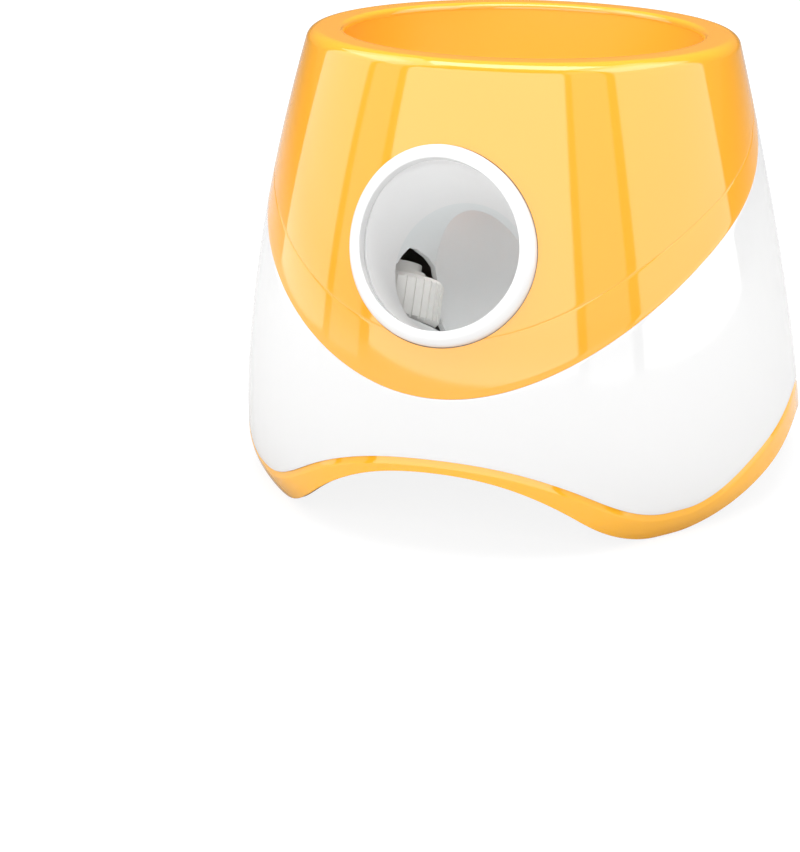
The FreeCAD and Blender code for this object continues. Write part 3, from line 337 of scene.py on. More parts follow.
@dataclass
class EffectLibrary:
    """Builds each shared node group once."""

    groups: dict[Effect, NodeTree] = field(default_factory=dict)

    VALUES = (("Scale", 1.0), ("Roughness", 0.3), ("Spread", 0.05))
    OUTPUTS = ("Shade", "Roughness", "Height")
    NOISE_MEAN = 0.5
    LINE_STRETCH = (1.0, 1.0, 30.0)

    def get(self, effect: Effect) -> NodeTree:
        """Node group of an effect, built on first use.

        Args:
            effect: Which effect.

        Returns:
            The group.
        """
        if effect not in self.groups:
            makers = {
                Effect.MOULD_FLOW: self._mould_flow,
                Effect.SATIN_GRAIN: self._satin_grain,
                Effect.TOOL_LINES: self._tool_lines,
            }
            self.groups[effect] = makers[effect]()
        return self.groups[effect]

    def _open(self, effect: Effect) -> tuple[NodeTree, Node, Node]:
        """Empty group with the inputs and outputs that all effects have.

        Args:
            effect: Which effect.

        Returns:
            The group, its input node and its output node.
        """
        tree = bpy.data.node_groups.new(effect.value, "ShaderNodeTree")
        tree.interface.new_socket("Vector", in_out="INPUT", socket_type="NodeSocketVector")
        for name, value in self.VALUES:
            socket = tree.interface.new_socket(name, in_out="INPUT", socket_type="NodeSocketFloat")
            socket.default_value = value
        for name in self.OUTPUTS:
            tree.interface.new_socket(name, in_out="OUTPUT", socket_type="NodeSocketFloat")
        return tree, tree.nodes.new("NodeGroupInput"), tree.nodes.new("NodeGroupOutput")

    def _noise(self, tree: NodeTree, source: Node, factor: float, detail: float) -> Node:
        """Noise in the group's own scale.

        Args:
            tree: Group that it belongs to.
            source: The group's input node.
            factor: Scale of the noise against the group's Scale.
            detail: Detail of the noise.

        Returns:
            The noise node.
        """
        scale = add_node(tree, "ShaderNodeMath", {1: factor}, operation="MULTIPLY")
        noise = add_node(tree, "ShaderNodeTexNoise", {"Detail": detail})
        join(tree,
             (source.outputs["Scale"], scale.inputs[0]),
             (source.outputs["Vector"], noise.inputs["Vector"]),
             (scale.outputs[0], noise.inputs["Scale"]))
        return noise

    def _close(self, tree: NodeTree, source: Node, sink: Node, shade: Socket, rough: Socket,
               height: Socket) -> NodeTree:
        """Links what a group puts out, with a roughness that swings around the group's own.

        Args:
            tree: The group.
            source: Its input node.
            sink: Its output node.
            shade: Socket that varies from 0 to 1 and shades the colour.
            rough: Socket that varies from 0 to 1 and swings the roughness.
            height: Socket that raises the surface.

        Returns:
            The group.
        """
        centred = add_node(tree, "ShaderNodeMath", {1: self.NOISE_MEAN}, operation="SUBTRACT")
        swing = add_node(tree, "ShaderNodeMath", {}, operation="MULTIPLY_ADD")
        join(tree,
             (shade, sink.inputs["Shade"]),
             (rough, centred.inputs[0]),
             (centred.outputs[0], swing.inputs[0]),
             (source.outputs["Spread"], swing.inputs[1]),
             (source.outputs["Roughness"], swing.inputs[2]),
             (swing.outputs[0], sink.inputs["Roughness"]),
             (height, sink.inputs["Height"]))
        return tree

    def _mould_flow(self) -> NodeTree:
        """Faint waviness and shade of a polished moulding.

        Returns:
            The group.
        """
        tree, source, sink = self._open(Effect.MOULD_FLOW)
        broad = self._noise(tree, source, factor=9.0, detail=1.0).outputs["Fac"]
        fine = self._noise(tree, source, factor=240.0, detail=2.0).outputs["Fac"]
        return self._close(tree, source, sink, shade=broad, rough=fine, height=broad)

    def _satin_grain(self) -> NodeTree:
        """Fine spark-eroded grain of a satin moulding.

        Returns:
            The group.
        """
        tree, source, sink = self._open(Effect.SATIN_GRAIN)
        broad = self._noise(tree, source, factor=30.0, detail=3.0).outputs["Fac"]
        grain = self._noise(tree, source, factor=1600.0, detail=2.0).outputs["Fac"]
        return self._close(tree, source, sink, shade=broad, rough=broad, height=grain)

    def _tool_lines(self) -> NodeTree:
        """Fine turned or rolled lines of bare metal.

        Returns:
            The group.
        """
        tree, source, sink = self._open(Effect.TOOL_LINES)
        stretch = add_node(tree, "ShaderNodeMapping", {"Scale": self.LINE_STRETCH})
        noise = self._noise(tree, source, factor=90.0, detail=4.0)
        lines = noise.outputs["Fac"]
        join(tree,
             (source.outputs["Vector"], stretch.inputs["Vector"]),
             (stretch.outputs["Vector"], noise.inputs["Vector"]))
        return self._close(tree, source, sink, shade=lines, rough=lines, height=lines)


EFFECTS = EffectLibrary()


# ---- finishes -----------------------------------------------------------------------------
@dataclass(frozen=True)
class Finish:
    """A surface finish.

    Args:
        name: Name of the material.
        colour: Linear colour.
        effect: Shared effect that it uses.
        roughness: Mean roughness.
        spread: How far the roughness swings.
        scale: Scale of the effect.
        relief: Height of the effect, in metres.
        shade: Share by which the colour darkens in the effect's low places.
        metallic: Share of metal.
        coat: Weight of the clear gloss.
        coat_roughness: Roughness of the clear gloss.
        specular: Strength of the plain reflection.
    """

    name: str
    colour: Colour
    effect: Effect
    roughness: float
    spread: float = 0.04
    scale: float = 1.0
    relief: float = 0.01 * MM
    shade: float = 0.03
    metallic: float = 0.0
    coat: float = 0.0
    coat_roughness: float = 0.04
    specular: float = 0.5

    def material(self) -> bpy.types.Material:
        """The finish's material, built on first use.

        Returns:
            The material.
        """
        known = bpy.data.materials.get(self.name)
        if known:
            return known
        material = bpy.data.materials.new(self.name)
        material.use_nodes = True
        tree = material.node_tree
        shader = tree.nodes["Principled BSDF"]
        set_inputs(shader, {"Metallic": self.metallic, "Coat Weight": self.coat,
                            "Coat Roughness": self.coat_roughness, "Specular IOR Level": self.specular})
        place = add_node(tree, "ShaderNodeTexCoord", {})
        effect = add_node(tree, "ShaderNodeGroup",
                          {"Scale": self.scale, "Roughness": self.roughness, "Spread": self.spread},
                          node_tree=EFFECTS.get(self.effect))
        dark = tuple(value * (1.0 - self.shade) for value in self.colour)
        tone = add_node(tree, "ShaderNodeMix", {"A": (*dark, 1.0), "B": (*self.colour, 1.0)},
                        data_type="RGBA")
        bump = add_node(tree, "ShaderNodeBump", {"Strength": 1.0, "Distance": self.relief})
        join(tree,
             (place.outputs["Object"], effect.inputs["Vector"]),
             (effect.outputs["Shade"], tone.inputs["Factor"]),
             (tone.outputs["Result"], shader.inputs["Base Color"]),
             (effect.outputs["Roughness"], shader.inputs["Roughness"]),
             (effect.outputs["Height"], bump.inputs["Height"]),
             (bump.outputs["Normal"], shader.inputs["Normal"]))
        return material


def gloss(name: str, colour: Colour, roughness: float = 0.07) -> Finish:
    """Polished moulded plastic.

    Args:
        name: Name of the material.
        colour: Linear colour.
        roughness: Mean roughness.

    Returns:
        The finish.
    """
    return Finish(name, colour, Effect.MOULD_FLOW, roughness, spread=0.02, relief=0.2 * MM, shade=0.015,
                  coat=0.15, specular=1.0)


def satin(name: str, colour: Colour, roughness: float = 0.42) -> Finish:
    """Moulded plastic with a fine grain."""
    return Finish(name, colour, Effect.SATIN_GRAIN, roughness, relief=0.02 * MM, shade=0.05)


def metal(name: str, colour: Colour, roughness: float = 0.28) -> Finish:
    """Bare metal with fine lines."""
    return Finish(name, colour, Effect.TOOL_LINES, roughness, spread=0.12, shade=0.12, metallic=1.0)


AMBER = (0.86, 0.378, 0.026)
HOOD_AMBER = gloss("amber gloss hood", AMBER)
# The bowl takes the hood's amber made darker: painted shade of the funnel's inside. It has little gloss.
SHADED_BOWL_AMBER = replace(gloss("amber gloss bowl with painted shade", (0.79, 0.258, 0.018), 0.3), specular=0.1, coat=0.0)
BAND_AMBER = gloss("amber gloss band", (0.90, 0.42, 0.01))
BUTTON_AMBER = satin("amber satin buttons", (0.90, 0.43, 0.05), 0.34)
SKIRT_WHITE = gloss("white gloss skirt", (0.71, 0.71, 0.71))
BEZEL_WHITE = replace(gloss("white gloss bezel", (0.72, 0.72, 0.72), 0.2), specular=0.5)
PANEL_GREY = gloss("pale grey panel", (0.60, 0.60, 0.60), 0.24)
BARREL_GREY = satin("pale grey barrel", (0.84, 0.84, 0.84), 0.3)
CHAMBER_GREY = satin("pale grey chamber", (0.775, 0.80, 0.805), 0.3)
BASE_WHITE = satin("white satin base", (0.72, 0.72, 0.71))
HUB_WHITE = satin("off-white hub", (0.92, 0.91, 0.88), 0.36)
TREAD_WHITE = Finish("off-white tread", (0.93, 0.92, 0.89), Effect.SATIN_GRAIN, roughness=0.62, spread=0.08,
                     relief=0.04 * MM, shade=0.08)
PAD_WHITE = Finish("pale pads", (0.60, 0.60, 0.585), Effect.SATIN_GRAIN, roughness=0.72, spread=0.08,
                   scale=0.8, relief=0.05 * MM, shade=0.15)
MOTOR_STEEL = metal("plated motor can", (0.56, 0.57, 0.58))
SHAFT_STEEL = metal("ground shaft", (0.62, 0.62, 0.63), 0.18)
SCREW_STEEL = metal("zinc-plated screws", (0.52, 0.53, 0.54), 0.34)
GEAR_BRASS = metal("brass gearbox", (0.58, 0.42, 0.17), 0.3)
SOCKET_NICKEL = metal("nickel socket", (0.66, 0.66, 0.66), 0.22)
BRACKET_GREY = satin("dark grey bracket", (0.075, 0.08, 0.085))
STOP_WHITE = satin("white acetal slider", (0.76, 0.76, 0.74), 0.3)
GEAR_IVORY = satin("ivory acetal gear", (0.76, 0.72, 0.60), 0.3)
SENSOR_BLACK = gloss("black sensor lens", (0.012, 0.012, 0.014), 0.08)
CELL_BLUE = gloss("blue cell wrap", (0.03, 0.12, 0.34), 0.22)
HOLDER_BLACK = satin("black holder", (0.016, 0.016, 0.018))
LIGHT_WHITE = gloss("milky light guides", (0.78, 0.82, 0.79), 0.24)
BOARD_GREEN = gloss("green board", (0.012, 0.09, 0.04), 0.3)
SWITCH_BLACK = satin("black switches", (0.018, 0.018, 0.02), 0.36)
SPEAKER_BLACK = satin("black speaker", (0.02, 0.02, 0.022), 0.5)


# ---- forms shared by the shells -----------------------------------------------------------
@dataclass(frozen=True)
class BodyOutline:
    """Outer form of the launcher: round sections that lean back and narrow towards the rim.

    Args:
        base_radius: Radius of the widest section.
        widest_height: Height of the widest section.
        foot_tuck: How far the skin draws in under it.
        rim_radius: Radius of the section at the rim.
        rim_height: Height of the rim's centre.
        rim_tilt: Tilt of the rim towards the back.
        rim_setback: Distance of the rim's centre behind the launcher's middle.
        belly_forward: How far the sections between bulge forwards.
        flare_power: How late the sections narrow.
        lowest: Lowest section at which a level is sought.
        over_rim: Highest section at which it is sought, as a share of the rim's height.
    """

    base_radius: float = 133.2 * MM
    widest_height: float = 18.0 * MM
    foot_tuck: float = 7.0 * MM
    rim_radius: float = 100.7 * MM
    rim_height: float = 208.0 * MM
    rim_tilt: float = math.radians(6.0)
    rim_setback: float = 6.8 * MM
    belly_forward: float = 5.9 * MM
    flare_power: float = 1.55
    lowest: float = -4.5 * MM
    over_rim: float = 1.1

    HEIGHT_STEPS = 24
    TILT_STEPS = 3

    def share(self, height: float) -> float:
        """How far up from the widest section a height lies, as a share of the way to the rim."""
        return max(0.0, (height - self.widest_height) / (self.rim_height - self.widest_height))

    def radius(self, height: float) -> float:
        """Radius of a section.

        Args:
            height: Height of the section's centre.

        Returns:
            The radius.
        """
        if height < self.widest_height:
            return self.base_radius - self.foot_tuck * (1.0 - height / self.widest_height) ** 2
        narrowing = (self.base_radius - self.rim_radius) * self.share(height) ** self.flare_power
        return self.base_radius - narrowing

    def centre(self, height: float) -> Vector:
        """Centre of a section: a parabola bulges forwards between the feet and the rim.

        Args:
            height: Height of the section's centre.

        Returns:
            The centre.
        """
        share = self.share(height)
        forward = 4.0 * self.belly_forward * share * (1.0 - share)
        return Vector((0.0, self.rim_setback * share - forward, height))

    def tilt(self, height: float) -> float:
        """Tilt of the section at a height."""
        return self.rim_tilt * max(0.0, height / self.rim_height)

    def at(self, angle: float, height: float, radius: float) -> Vector:
        """Point at an angle in the section of a height.

        Args:
            angle: Angle from +X.
            height: Height of the section's centre.
            radius: Distance from the centre.

        Returns:
            The point.
        """
        tilt = self.tilt(height)
        across = Vector((0.0, math.cos(tilt), -math.sin(tilt)))
        sideways = X_AXIS * (radius * math.cos(angle))
        return self.centre(height) + sideways + across * (radius * math.sin(angle))

    def skin(self, angle: float, height: float, inset: float = 0.0) -> Vector:
        """Point on the skin, or under it by an inset."""
        return self.at(angle, height, self.radius(height) - inset)

    def height_where(self, angle: float, level: Level) -> float:
        """Section height at which a column of the skin meets a level.

        Args:
            angle: Angle of the column.
            level: Height of the level at a point.

        Returns:
            The section's height.
        """
        low, high = self.lowest, self.rim_height * self.over_rim
        for _ in range(self.HEIGHT_STEPS):
            middle = (low + high) / 2.0
            point = self.skin(angle, middle)
            if point.z < level(point):
                low = middle
            else:
                high = middle
        return (low + high) / 2.0

    def section(self, level: Level, most: float = math.inf) -> Section:
        """Height of the section that meets a level at an angle, but nowhere above a fixed height."""
        return lambda angle: min(self.height_where(angle, level), most)

    def row(self, section: Section, inset: float = 0.0) -> Row:
        """Row of the skin at a section, moved inwards by an inset."""
        return lambda angle: self.skin(angle, section(angle), inset)

    def blend(self, low: Section, high: Section, share: float, inset: float = 0.0) -> Row:
        """Row of the skin between two sections.

        Args:
            low: The lower section.
            high: The upper section.
            share: Share of the way from the lower one to the upper one.
            inset: How far the row lies under the skin.

        Returns:
            The row.
        """
        def place(angle: float) -> Vector:
            """Point of the row at an angle."""
            start = low(angle)
            return self.skin(angle, start + (high(angle) - start) * share, inset)
        return place

    def outside(self, point: Vector, inset: float) -> bool:
        """Tells which side of the skin a point lies on.

        Args:
            point: The point.
            inset: How far inwards the skin is moved first.

        Returns:
            True if the point lies outside.
        """
        height = point.z
        for _ in range(self.TILT_STEPS):
            tilt = self.tilt(height)
            height = point.z + (point.y - self.centre(height).y) * math.tan(tilt)
        middle = self.centre(height)
        off = math.hypot(point.x, (point.y - middle.y) / math.cos(self.tilt(height)))
        return off > self.radius(height) - inset


@dataclass(frozen=True)
class PartingLine:
    """Side view of the line between hood and skirt, with the crease that runs above it."""

    outline: BodyOutline
    front: float = 72.5 * MM
    middle: float = 152.0 * MM
    back: float = 182.0 * MM
    crease_front_rise: float = 23.0 * MM
    crease_back_rise: float = 12.0 * MM

    @cached_property
    def line(self) -> SmoothLine:
        """The parting line over Y.

        Returns:
            The line.
        """
        low, mid, top = self.front, self.middle, self.back
        shares = (
            (-1.02, low - 2.5 * MM),
            (-0.94, low + (mid - low) * 0.10),
            (-0.79, low + (mid - low) * 0.31),
            (-0.42, low + (mid - low) * 0.69),
            (0.0, mid),
            (0.27, mid + (top - mid) * 0.62),
            (0.50, mid + (top - mid) * 0.93),
            (0.75, top),
            (1.10, top),
        )
        return SmoothLine(tuple((self.outline.base_radius * share, height) for share, height in shares))

    def level(self, rise: float) -> Level:
        """Height of the line, raised by a fixed amount."""
        return lambda point: self.line.height(point.y) + rise

    def crease(self, rise: float) -> Level:
        """Height of the crease over the line.

        Args:
            rise: Fixed amount that it is raised by.

        Returns:
            The level.
        """
        def height(point: Vector) -> float:
            """Height at a point."""
            forward = max(0.0, -point.y / self.outline.base_radius)
            reach = self.crease_back_rise + (self.crease_front_rise - self.crease_back_rise) * forward
            return self.line.height(point.y) + reach + rise
        return height


@dataclass(frozen=True)
class FootWave:
    """Wavy edge that dips to the four feet.

    Args:
        floor: Height of the edge at the feet.
        front_top: Height of the arch at the front and back.
        side_top: Height of the arch at the sides.
        half_span: Reach of the front arch to either side.
        side_front_span: Reach of the side arch forwards from its centre.
        side_back_span: Reach of the side arch backwards.
        side_centre: Place of the side arch's crown along Y.
    """

    floor: float
    front_top: float
    side_top: float
    half_span: float
    side_front_span: float
    side_back_span: float
    side_centre: float = 15.0 * MM

    BROAD = ((0.0, 1.0), (0.35, 0.88), (0.68, 0.46), (0.90, 0.07), (1.0, 0.0))
    STEEP = ((0.0, 1.0), (0.33, 0.77), (0.66, 0.40), (0.93, 0.04), (1.0, 0.0))

    def _arch(self, centre: float, low: float, high: float, top: float,
              shape: Sequence[tuple[float, float]]) -> SmoothLine:
        """Arch from its fall on either side of the crown.

        Args:
            centre: Place of the crown.
            low: Span below the centre.
            high: Span above it.
            top: Height of the crown.
            shape: (share of the span, share of the rise) pairs.

        Returns:
            The arch.
        """
        rise = top - self.floor
        left = [(centre - low * u, self.floor + rise * v) for u, v in reversed(shape)]
        right = [(centre + high * u, self.floor + rise * v) for u, v in shape[1:]]
        return SmoothLine(tuple(left + right), level_ends=True)

    @cached_property
    def arches(self) -> tuple[SmoothLine, SmoothLine]:
        """Both arches.

        Returns:
            The arch seen from the front and the arch seen from the side.
        """
        front = self._arch(0.0, self.half_span, self.half_span, self.front_top, self.BROAD)
        side = self._arch(self.side_centre, self.side_front_span, self.side_back_span, self.side_top,
                          self.STEEP)
        return front, side

    def level(self, rise: float) -> Level:
        """Height of the edge at a point, raised by a fixed amount."""
        front, side = self.arches
        return lambda point: max(self.floor, front.height(point.x), side.height(point.y)) + rise


@dataclass(frozen=True)
class BarrelAxis:
    """Frame of the slanted barrel.

    Args:
        outline: Body that the barrel comes out of.
        pitch: Slope of the axis.
        setback: Distance of the muzzle in front of the launcher's middle.
        height: Height of the axis at the muzzle.
        nearest: Least depth at which the skin is sought.
        farthest: Greatest depth at which it is sought.
        facets: Number of faces round a plug.
    """

    outline: BodyOutline
    pitch: float = math.radians(28.0)
    setback: float = 118.0 * MM
    height: float = 140.8 * MM
    nearest: float = -40.0 * MM
    farthest: float = 60.0 * MM
    facets: int = 160

    DEPTH_STEPS = 22

    @property
    def muzzle(self) -> Vector:
        """Point of the axis at the muzzle."""
        return Vector((0.0, -self.setback, self.height))

    @property
    def inward(self) -> Vector:
        """Direction along the barrel, into the launcher."""
        return Vector((0.0, math.cos(self.pitch), -math.sin(self.pitch)))

    @property
    def upward(self) -> Vector:
        """Direction across the barrel, upwards."""
        return Vector((0.0, math.sin(self.pitch), math.cos(self.pitch)))

    def at(self, angle: float, depth: float, radius: float, rise: float = 0.0) -> Vector:
        """Point round the barrel.

        Args:
            angle: Angle from +X towards the upward direction.
            depth: Depth behind the muzzle.
            radius: Distance from the axis.
            rise: Shift of the axis across the barrel.

        Returns:
            The point.
        """
        off = X_AXIS * (radius * math.cos(angle)) + self.upward * (radius * math.sin(angle) + rise)
        return self.muzzle + self.inward * depth + off

    def depth_where(self, angle: float, radius: float, inset: float) -> float:
        """Depth at which a line along the barrel meets the body's skin.

        Args:
            angle: Angle of the line round the axis.
            radius: Its distance from the axis.
            inset: How far inwards the skin is moved first.

        Returns:
            The depth.
        """
        low, high = self.nearest, self.farthest
        for _ in range(self.DEPTH_STEPS):
            middle = (low + high) / 2.0
            if self.outline.outside(self.at(angle, middle, radius), inset):
                low = middle
            else:
                high = middle
        return (low + high) / 2.0

    def plug(self, radius: float, front: float, back: float) -> bmesh.types.BMesh:
        """Closed cylinder along the barrel.

        Args:
            radius: Its radius.
            front: Depth of its front end.
            back: Depth of its back end.

        Returns:
            The mesh.
        """
        bm = bmesh.new()
        length = back - front
        turn = Z_AXIS.rotation_difference(self.inward).to_matrix().to_4x4()
        middle = self.muzzle + self.inward * ((front + back) / 2.0)
        bmesh.ops.create_cone(bm, cap_ends=True, segments=self.facets, radius1=radius, radius2=radius,
                              depth=length, matrix=Matrix.Translation(middle) @ turn)
        return bm


OUTLINE = BodyOutline()
PARTING = PartingLine(OUTLINE)
BARREL = BarrelAxis(OUTLINE)
FIXED = "launcher"
BOWL_MOUTH = 84.0 * MM
BEZEL_RADIUS = 43.3 * MM


# ---- shells -------------------------------------------------------------------------------
@dataclass
class Shells:
    """Hood, skirt and band that make the outside of the launcher."""

    columns: int = 360
    wall: float = 2.6 * MM
    seam_gap: float = 0.3 * MM
    seam_shown: float = 0.06 * MM
    edge_round: float = 0.2 * MM
    lining_rows: int = 6
    crease_step: float = 0.28 * MM
    crease_width: float = 0.9 * MM
    crease_under_roll: float = 2.4 * MM
    hem_rows: int = 7
    hood_rows: int = 40
    hood_lining_rows: int = 8
    rim_outer_round: float = 6.0 * MM
    rim_inner_round: float = 2.8 * MM
    rim_thickness: float = 3.2 * MM
    rim_slope_run: float = 4.0 * MM
    rim_rows: tuple[int, int, int] = (14, 4, 10)
    mouth_radius: float = BOWL_MOUTH
    hole_front: float = -60.0 * MM
    hole_back: float = 50.0 * MM
    band_bottom: FootWave = FootWave(
        floor=0.8 * MM, front_top=39.5 * MM, side_top=27.5 * MM,
        half_span=90.0 * MM, side_front_span=95.0 * MM, side_back_span=70.0 * MM,
    )
    band_top: FootWave = FootWave(
        floor=14.2 * MM, front_top=45.8 * MM, side_top=41.8 * MM,
        half_span=97.0 * MM, side_front_span=97.0 * MM, side_back_span=77.0 * MM,
    )
    band_rows: int = 12
    band_bevel: float = 3.2 * MM
    bevel_slope: float = 0.3
    bevel_edge: float = 0.15 * MM
    skirt_rows: int = 44
    panel_width: float = 62.0 * MM
    panel_height: float = 34.0 * MM
    panel_centre: float = 106.0 * MM
    panel_corner: float = 8.0 * MM
    panel_corner_steps: int = 10
    window_setback: float = 120.0 * MM
    window_depth: float = 100.0 * MM

    EDGE_PROFILE = ((1.0, 0.0), (0.45, 0.12), (0.12, 0.45), (0.0, 1.0))
    CREASE_PROFILE = ((-2.0, 0.0), (-1.2, 0.02), (-0.5, 0.25), (0.0, 0.6),
                      (0.5, 0.25), (1.2, 0.02), (2.0, 0.0))
    BEVEL_SHARES = (0.5, 0.95)

    def _edge_rows(self, level: Callable[[float], Level], side: int, sunk: float = 0.0) -> list[Row]:
        """Rows of a rounded edge, from the skin to the inside.

        Args:
            level: Gives the edge's level for a rise.
            side: 1 where the skin lies above the edge, -1 where it lies below.
            sunk: How far the edge lies under the body's skin.

        Returns:
            Rows from the skin inwards.
        """
        rows = []
        for off, inset in self.EDGE_PROFILE:
            section = OUTLINE.section(level(side * off * self.edge_round))
            rows.append(OUTLINE.row(section, sunk + inset * self.edge_round))
        return rows

    def _rim_rows(self) -> list[Row]:
        """Rows over the rolled rim, from the outer wall to the bowl's mouth.

        Returns:
            The rows.
        """
        run, bend, lip = self.rim_slope_run, self.rim_outer_round, self.rim_inner_round
        outer_rows, flat_rows, inner_rows = self.rim_rows
        slope = math.atan2(OUTLINE.radius(OUTLINE.rim_height - run) - OUTLINE.rim_radius, run)
        outer = OUTLINE.rim_radius - bend * (1.0 - math.sin(slope)) / math.cos(slope)
        inner = self.mouth_radius + lip
        profile = arc_points((outer, -bend), bend, math.degrees(slope), 90.0, outer_rows)
        profile += [(radius, 0.0) for radius in spread(outer, inner, flat_rows)[1:-1]]
        profile += arc_points((inner, -lip), lip, 90.0, 180.0, inner_rows)
        profile.append((self.mouth_radius, -self.rim_thickness))
        return [lambda angle, r=r, z=z: OUTLINE.at(angle, OUTLINE.rim_height + z, r) for r, z in profile]

    def build_hood(self) -> None:
        """Hood with its crease, rolled rim and the hole for the bezel."""
        roll = OUTLINE.rim_height - self.rim_outer_round
        half = self.crease_width / 2.0
        most = roll - self.crease_under_roll
        seam = OUTLINE.section(PARTING.level(self.seam_shown))
        hem = OUTLINE.section(PARTING.level(self.seam_shown + self.edge_round))
        crease = [OUTLINE.section(PARTING.crease(rise * half), most + rise * half)
                  for rise, _ in self.CREASE_PROFILE]
        lining_top = OUTLINE.rim_height - 2 * self.rim_thickness
        lining_radius = OUTLINE.rim_radius - self.wall

        rows = self._edge_rows(lambda rise: PARTING.level(self.seam_shown + rise), 1)[::-1]
        rows += [OUTLINE.blend(hem, crease[0], share) for share in spread(0.0, 1.0, self.hem_rows)[1:-1]]
        rows += [OUTLINE.row(section, inset * self.crease_step)
                 for section, (_, inset) in zip(crease, self.CREASE_PROFILE)]
        rows += [OUTLINE.blend(crease[-1], lambda angle: roll, share)
                 for share in spread(0.0, 1.0, self.hood_rows)[1:]]
        rows += self._rim_rows()
        rows.append(lambda angle: OUTLINE.at(angle, OUTLINE.rim_height - self.rim_thickness, lining_radius))
        rows += [OUTLINE.blend(seam, lambda angle: lining_top, share, self.wall)
                 for share in spread(1.0, 0.0, self.hood_lining_rows)[1:]]
        hood = Piece("hood", wrapped(rows, self.columns))
        hood.cut_by(BARREL.plug(BEZEL_RADIUS + self.seam_gap, self.hole_front, self.hole_back))
        hood.dressed(HOOD_AMBER, FIXED, ["upper_shell"])

    def _skin_between(self, low: Callable[[float], Level], high: Callable[[float], Level],
                      steps: int, bevel: float = 0.0) -> bmesh.types.BMesh:
        """Closed skin between two wavy edges.

        Args:
            low: Level of the lower edge for a rise.
            high: Level of the upper edge for a rise.
            steps: Number of rows on the outside.
            bevel: Width of the sloping strip under the upper edge.

        Returns:
            The mesh.
        """
        crisp = self.bevel_edge if bevel else 0.0
        sunk = bevel * self.bevel_slope
        start = OUTLINE.section(low(self.edge_round))
        end = OUTLINE.section(high(-self.edge_round - bevel - crisp))
        foot, top = OUTLINE.section(low(0.0)), OUTLINE.section(high(0.0))

        rows = self._edge_rows(low, 1)[::-1]
        rows += [OUTLINE.blend(start, end, share) for share in spread(0.0, 1.0, steps)[1:-1]]
        if bevel:
            rows.append(OUTLINE.row(end))
            for share in (crisp / bevel, *self.BEVEL_SHARES):
                section = OUTLINE.section(high(-self.edge_round - bevel * (1.0 - share)))
                rows.append(OUTLINE.row(section, sunk * share))
        rows += self._edge_rows(high, -1, sunk)
        rows.append(OUTLINE.row(top, self.wall))
        rows += [OUTLINE.blend(foot, top, share, self.wall)
                 for share in spread(1.0, 0.0, self.lining_rows)[1:-1]]
        rows.append(OUTLINE.row(foot, self.wall))
        return wrapped(rows, self.columns)

    def build_skirt(self) -> None:
        """White skirt between the band and the hood, with the panel's window."""
        bm = self._skin_between(lambda rise: self.band_top.level(self.seam_shown + rise), PARTING.level,
                                self.skirt_rows)
        skirt = Piece("skirt", bm)
        skirt.cut_by(self._window())
        skirt.dressed(SKIRT_WHITE, FIXED, ["body_shell"])

    def _window(self) -> bmesh.types.BMesh:
        """Rounded prism that cuts the panel's window in the back of the skirt.

        Returns:
            The mesh.
        """
        bm = bmesh.new()
        margin = 2 * self.seam_gap
        size = Vector((self.panel_width + margin, self.window_depth, self.panel_height + margin))
        bmesh.ops.create_cube(bm, size=1.0)
        bmesh.ops.scale(bm, vec=size, verts=bm.verts)
        along = [edge for edge in bm.edges
                 if abs(edge.verts[0].co.y - edge.verts[1].co.y) > self.window_depth / 2.0]
        bmesh.ops.bevel(bm, geom=along, offset=self.panel_corner, segments=self.panel_corner_steps,
                        profile=0.5, affect="EDGES", material=-1)
        centre = Vector((0.0, self.window_setback, self.panel_centre))
        bmesh.ops.translate(bm, vec=centre, verts=bm.verts)
        return bm

    def build_band(self) -> None:
        """Amber band round the feet."""
        bm = self._skin_between(self.band_bottom.level, self.band_top.level, self.band_rows,
                                self.band_bevel)
        Piece("foot_band", bm).dressed(BAND_AMBER, FIXED, ["base_trim"])


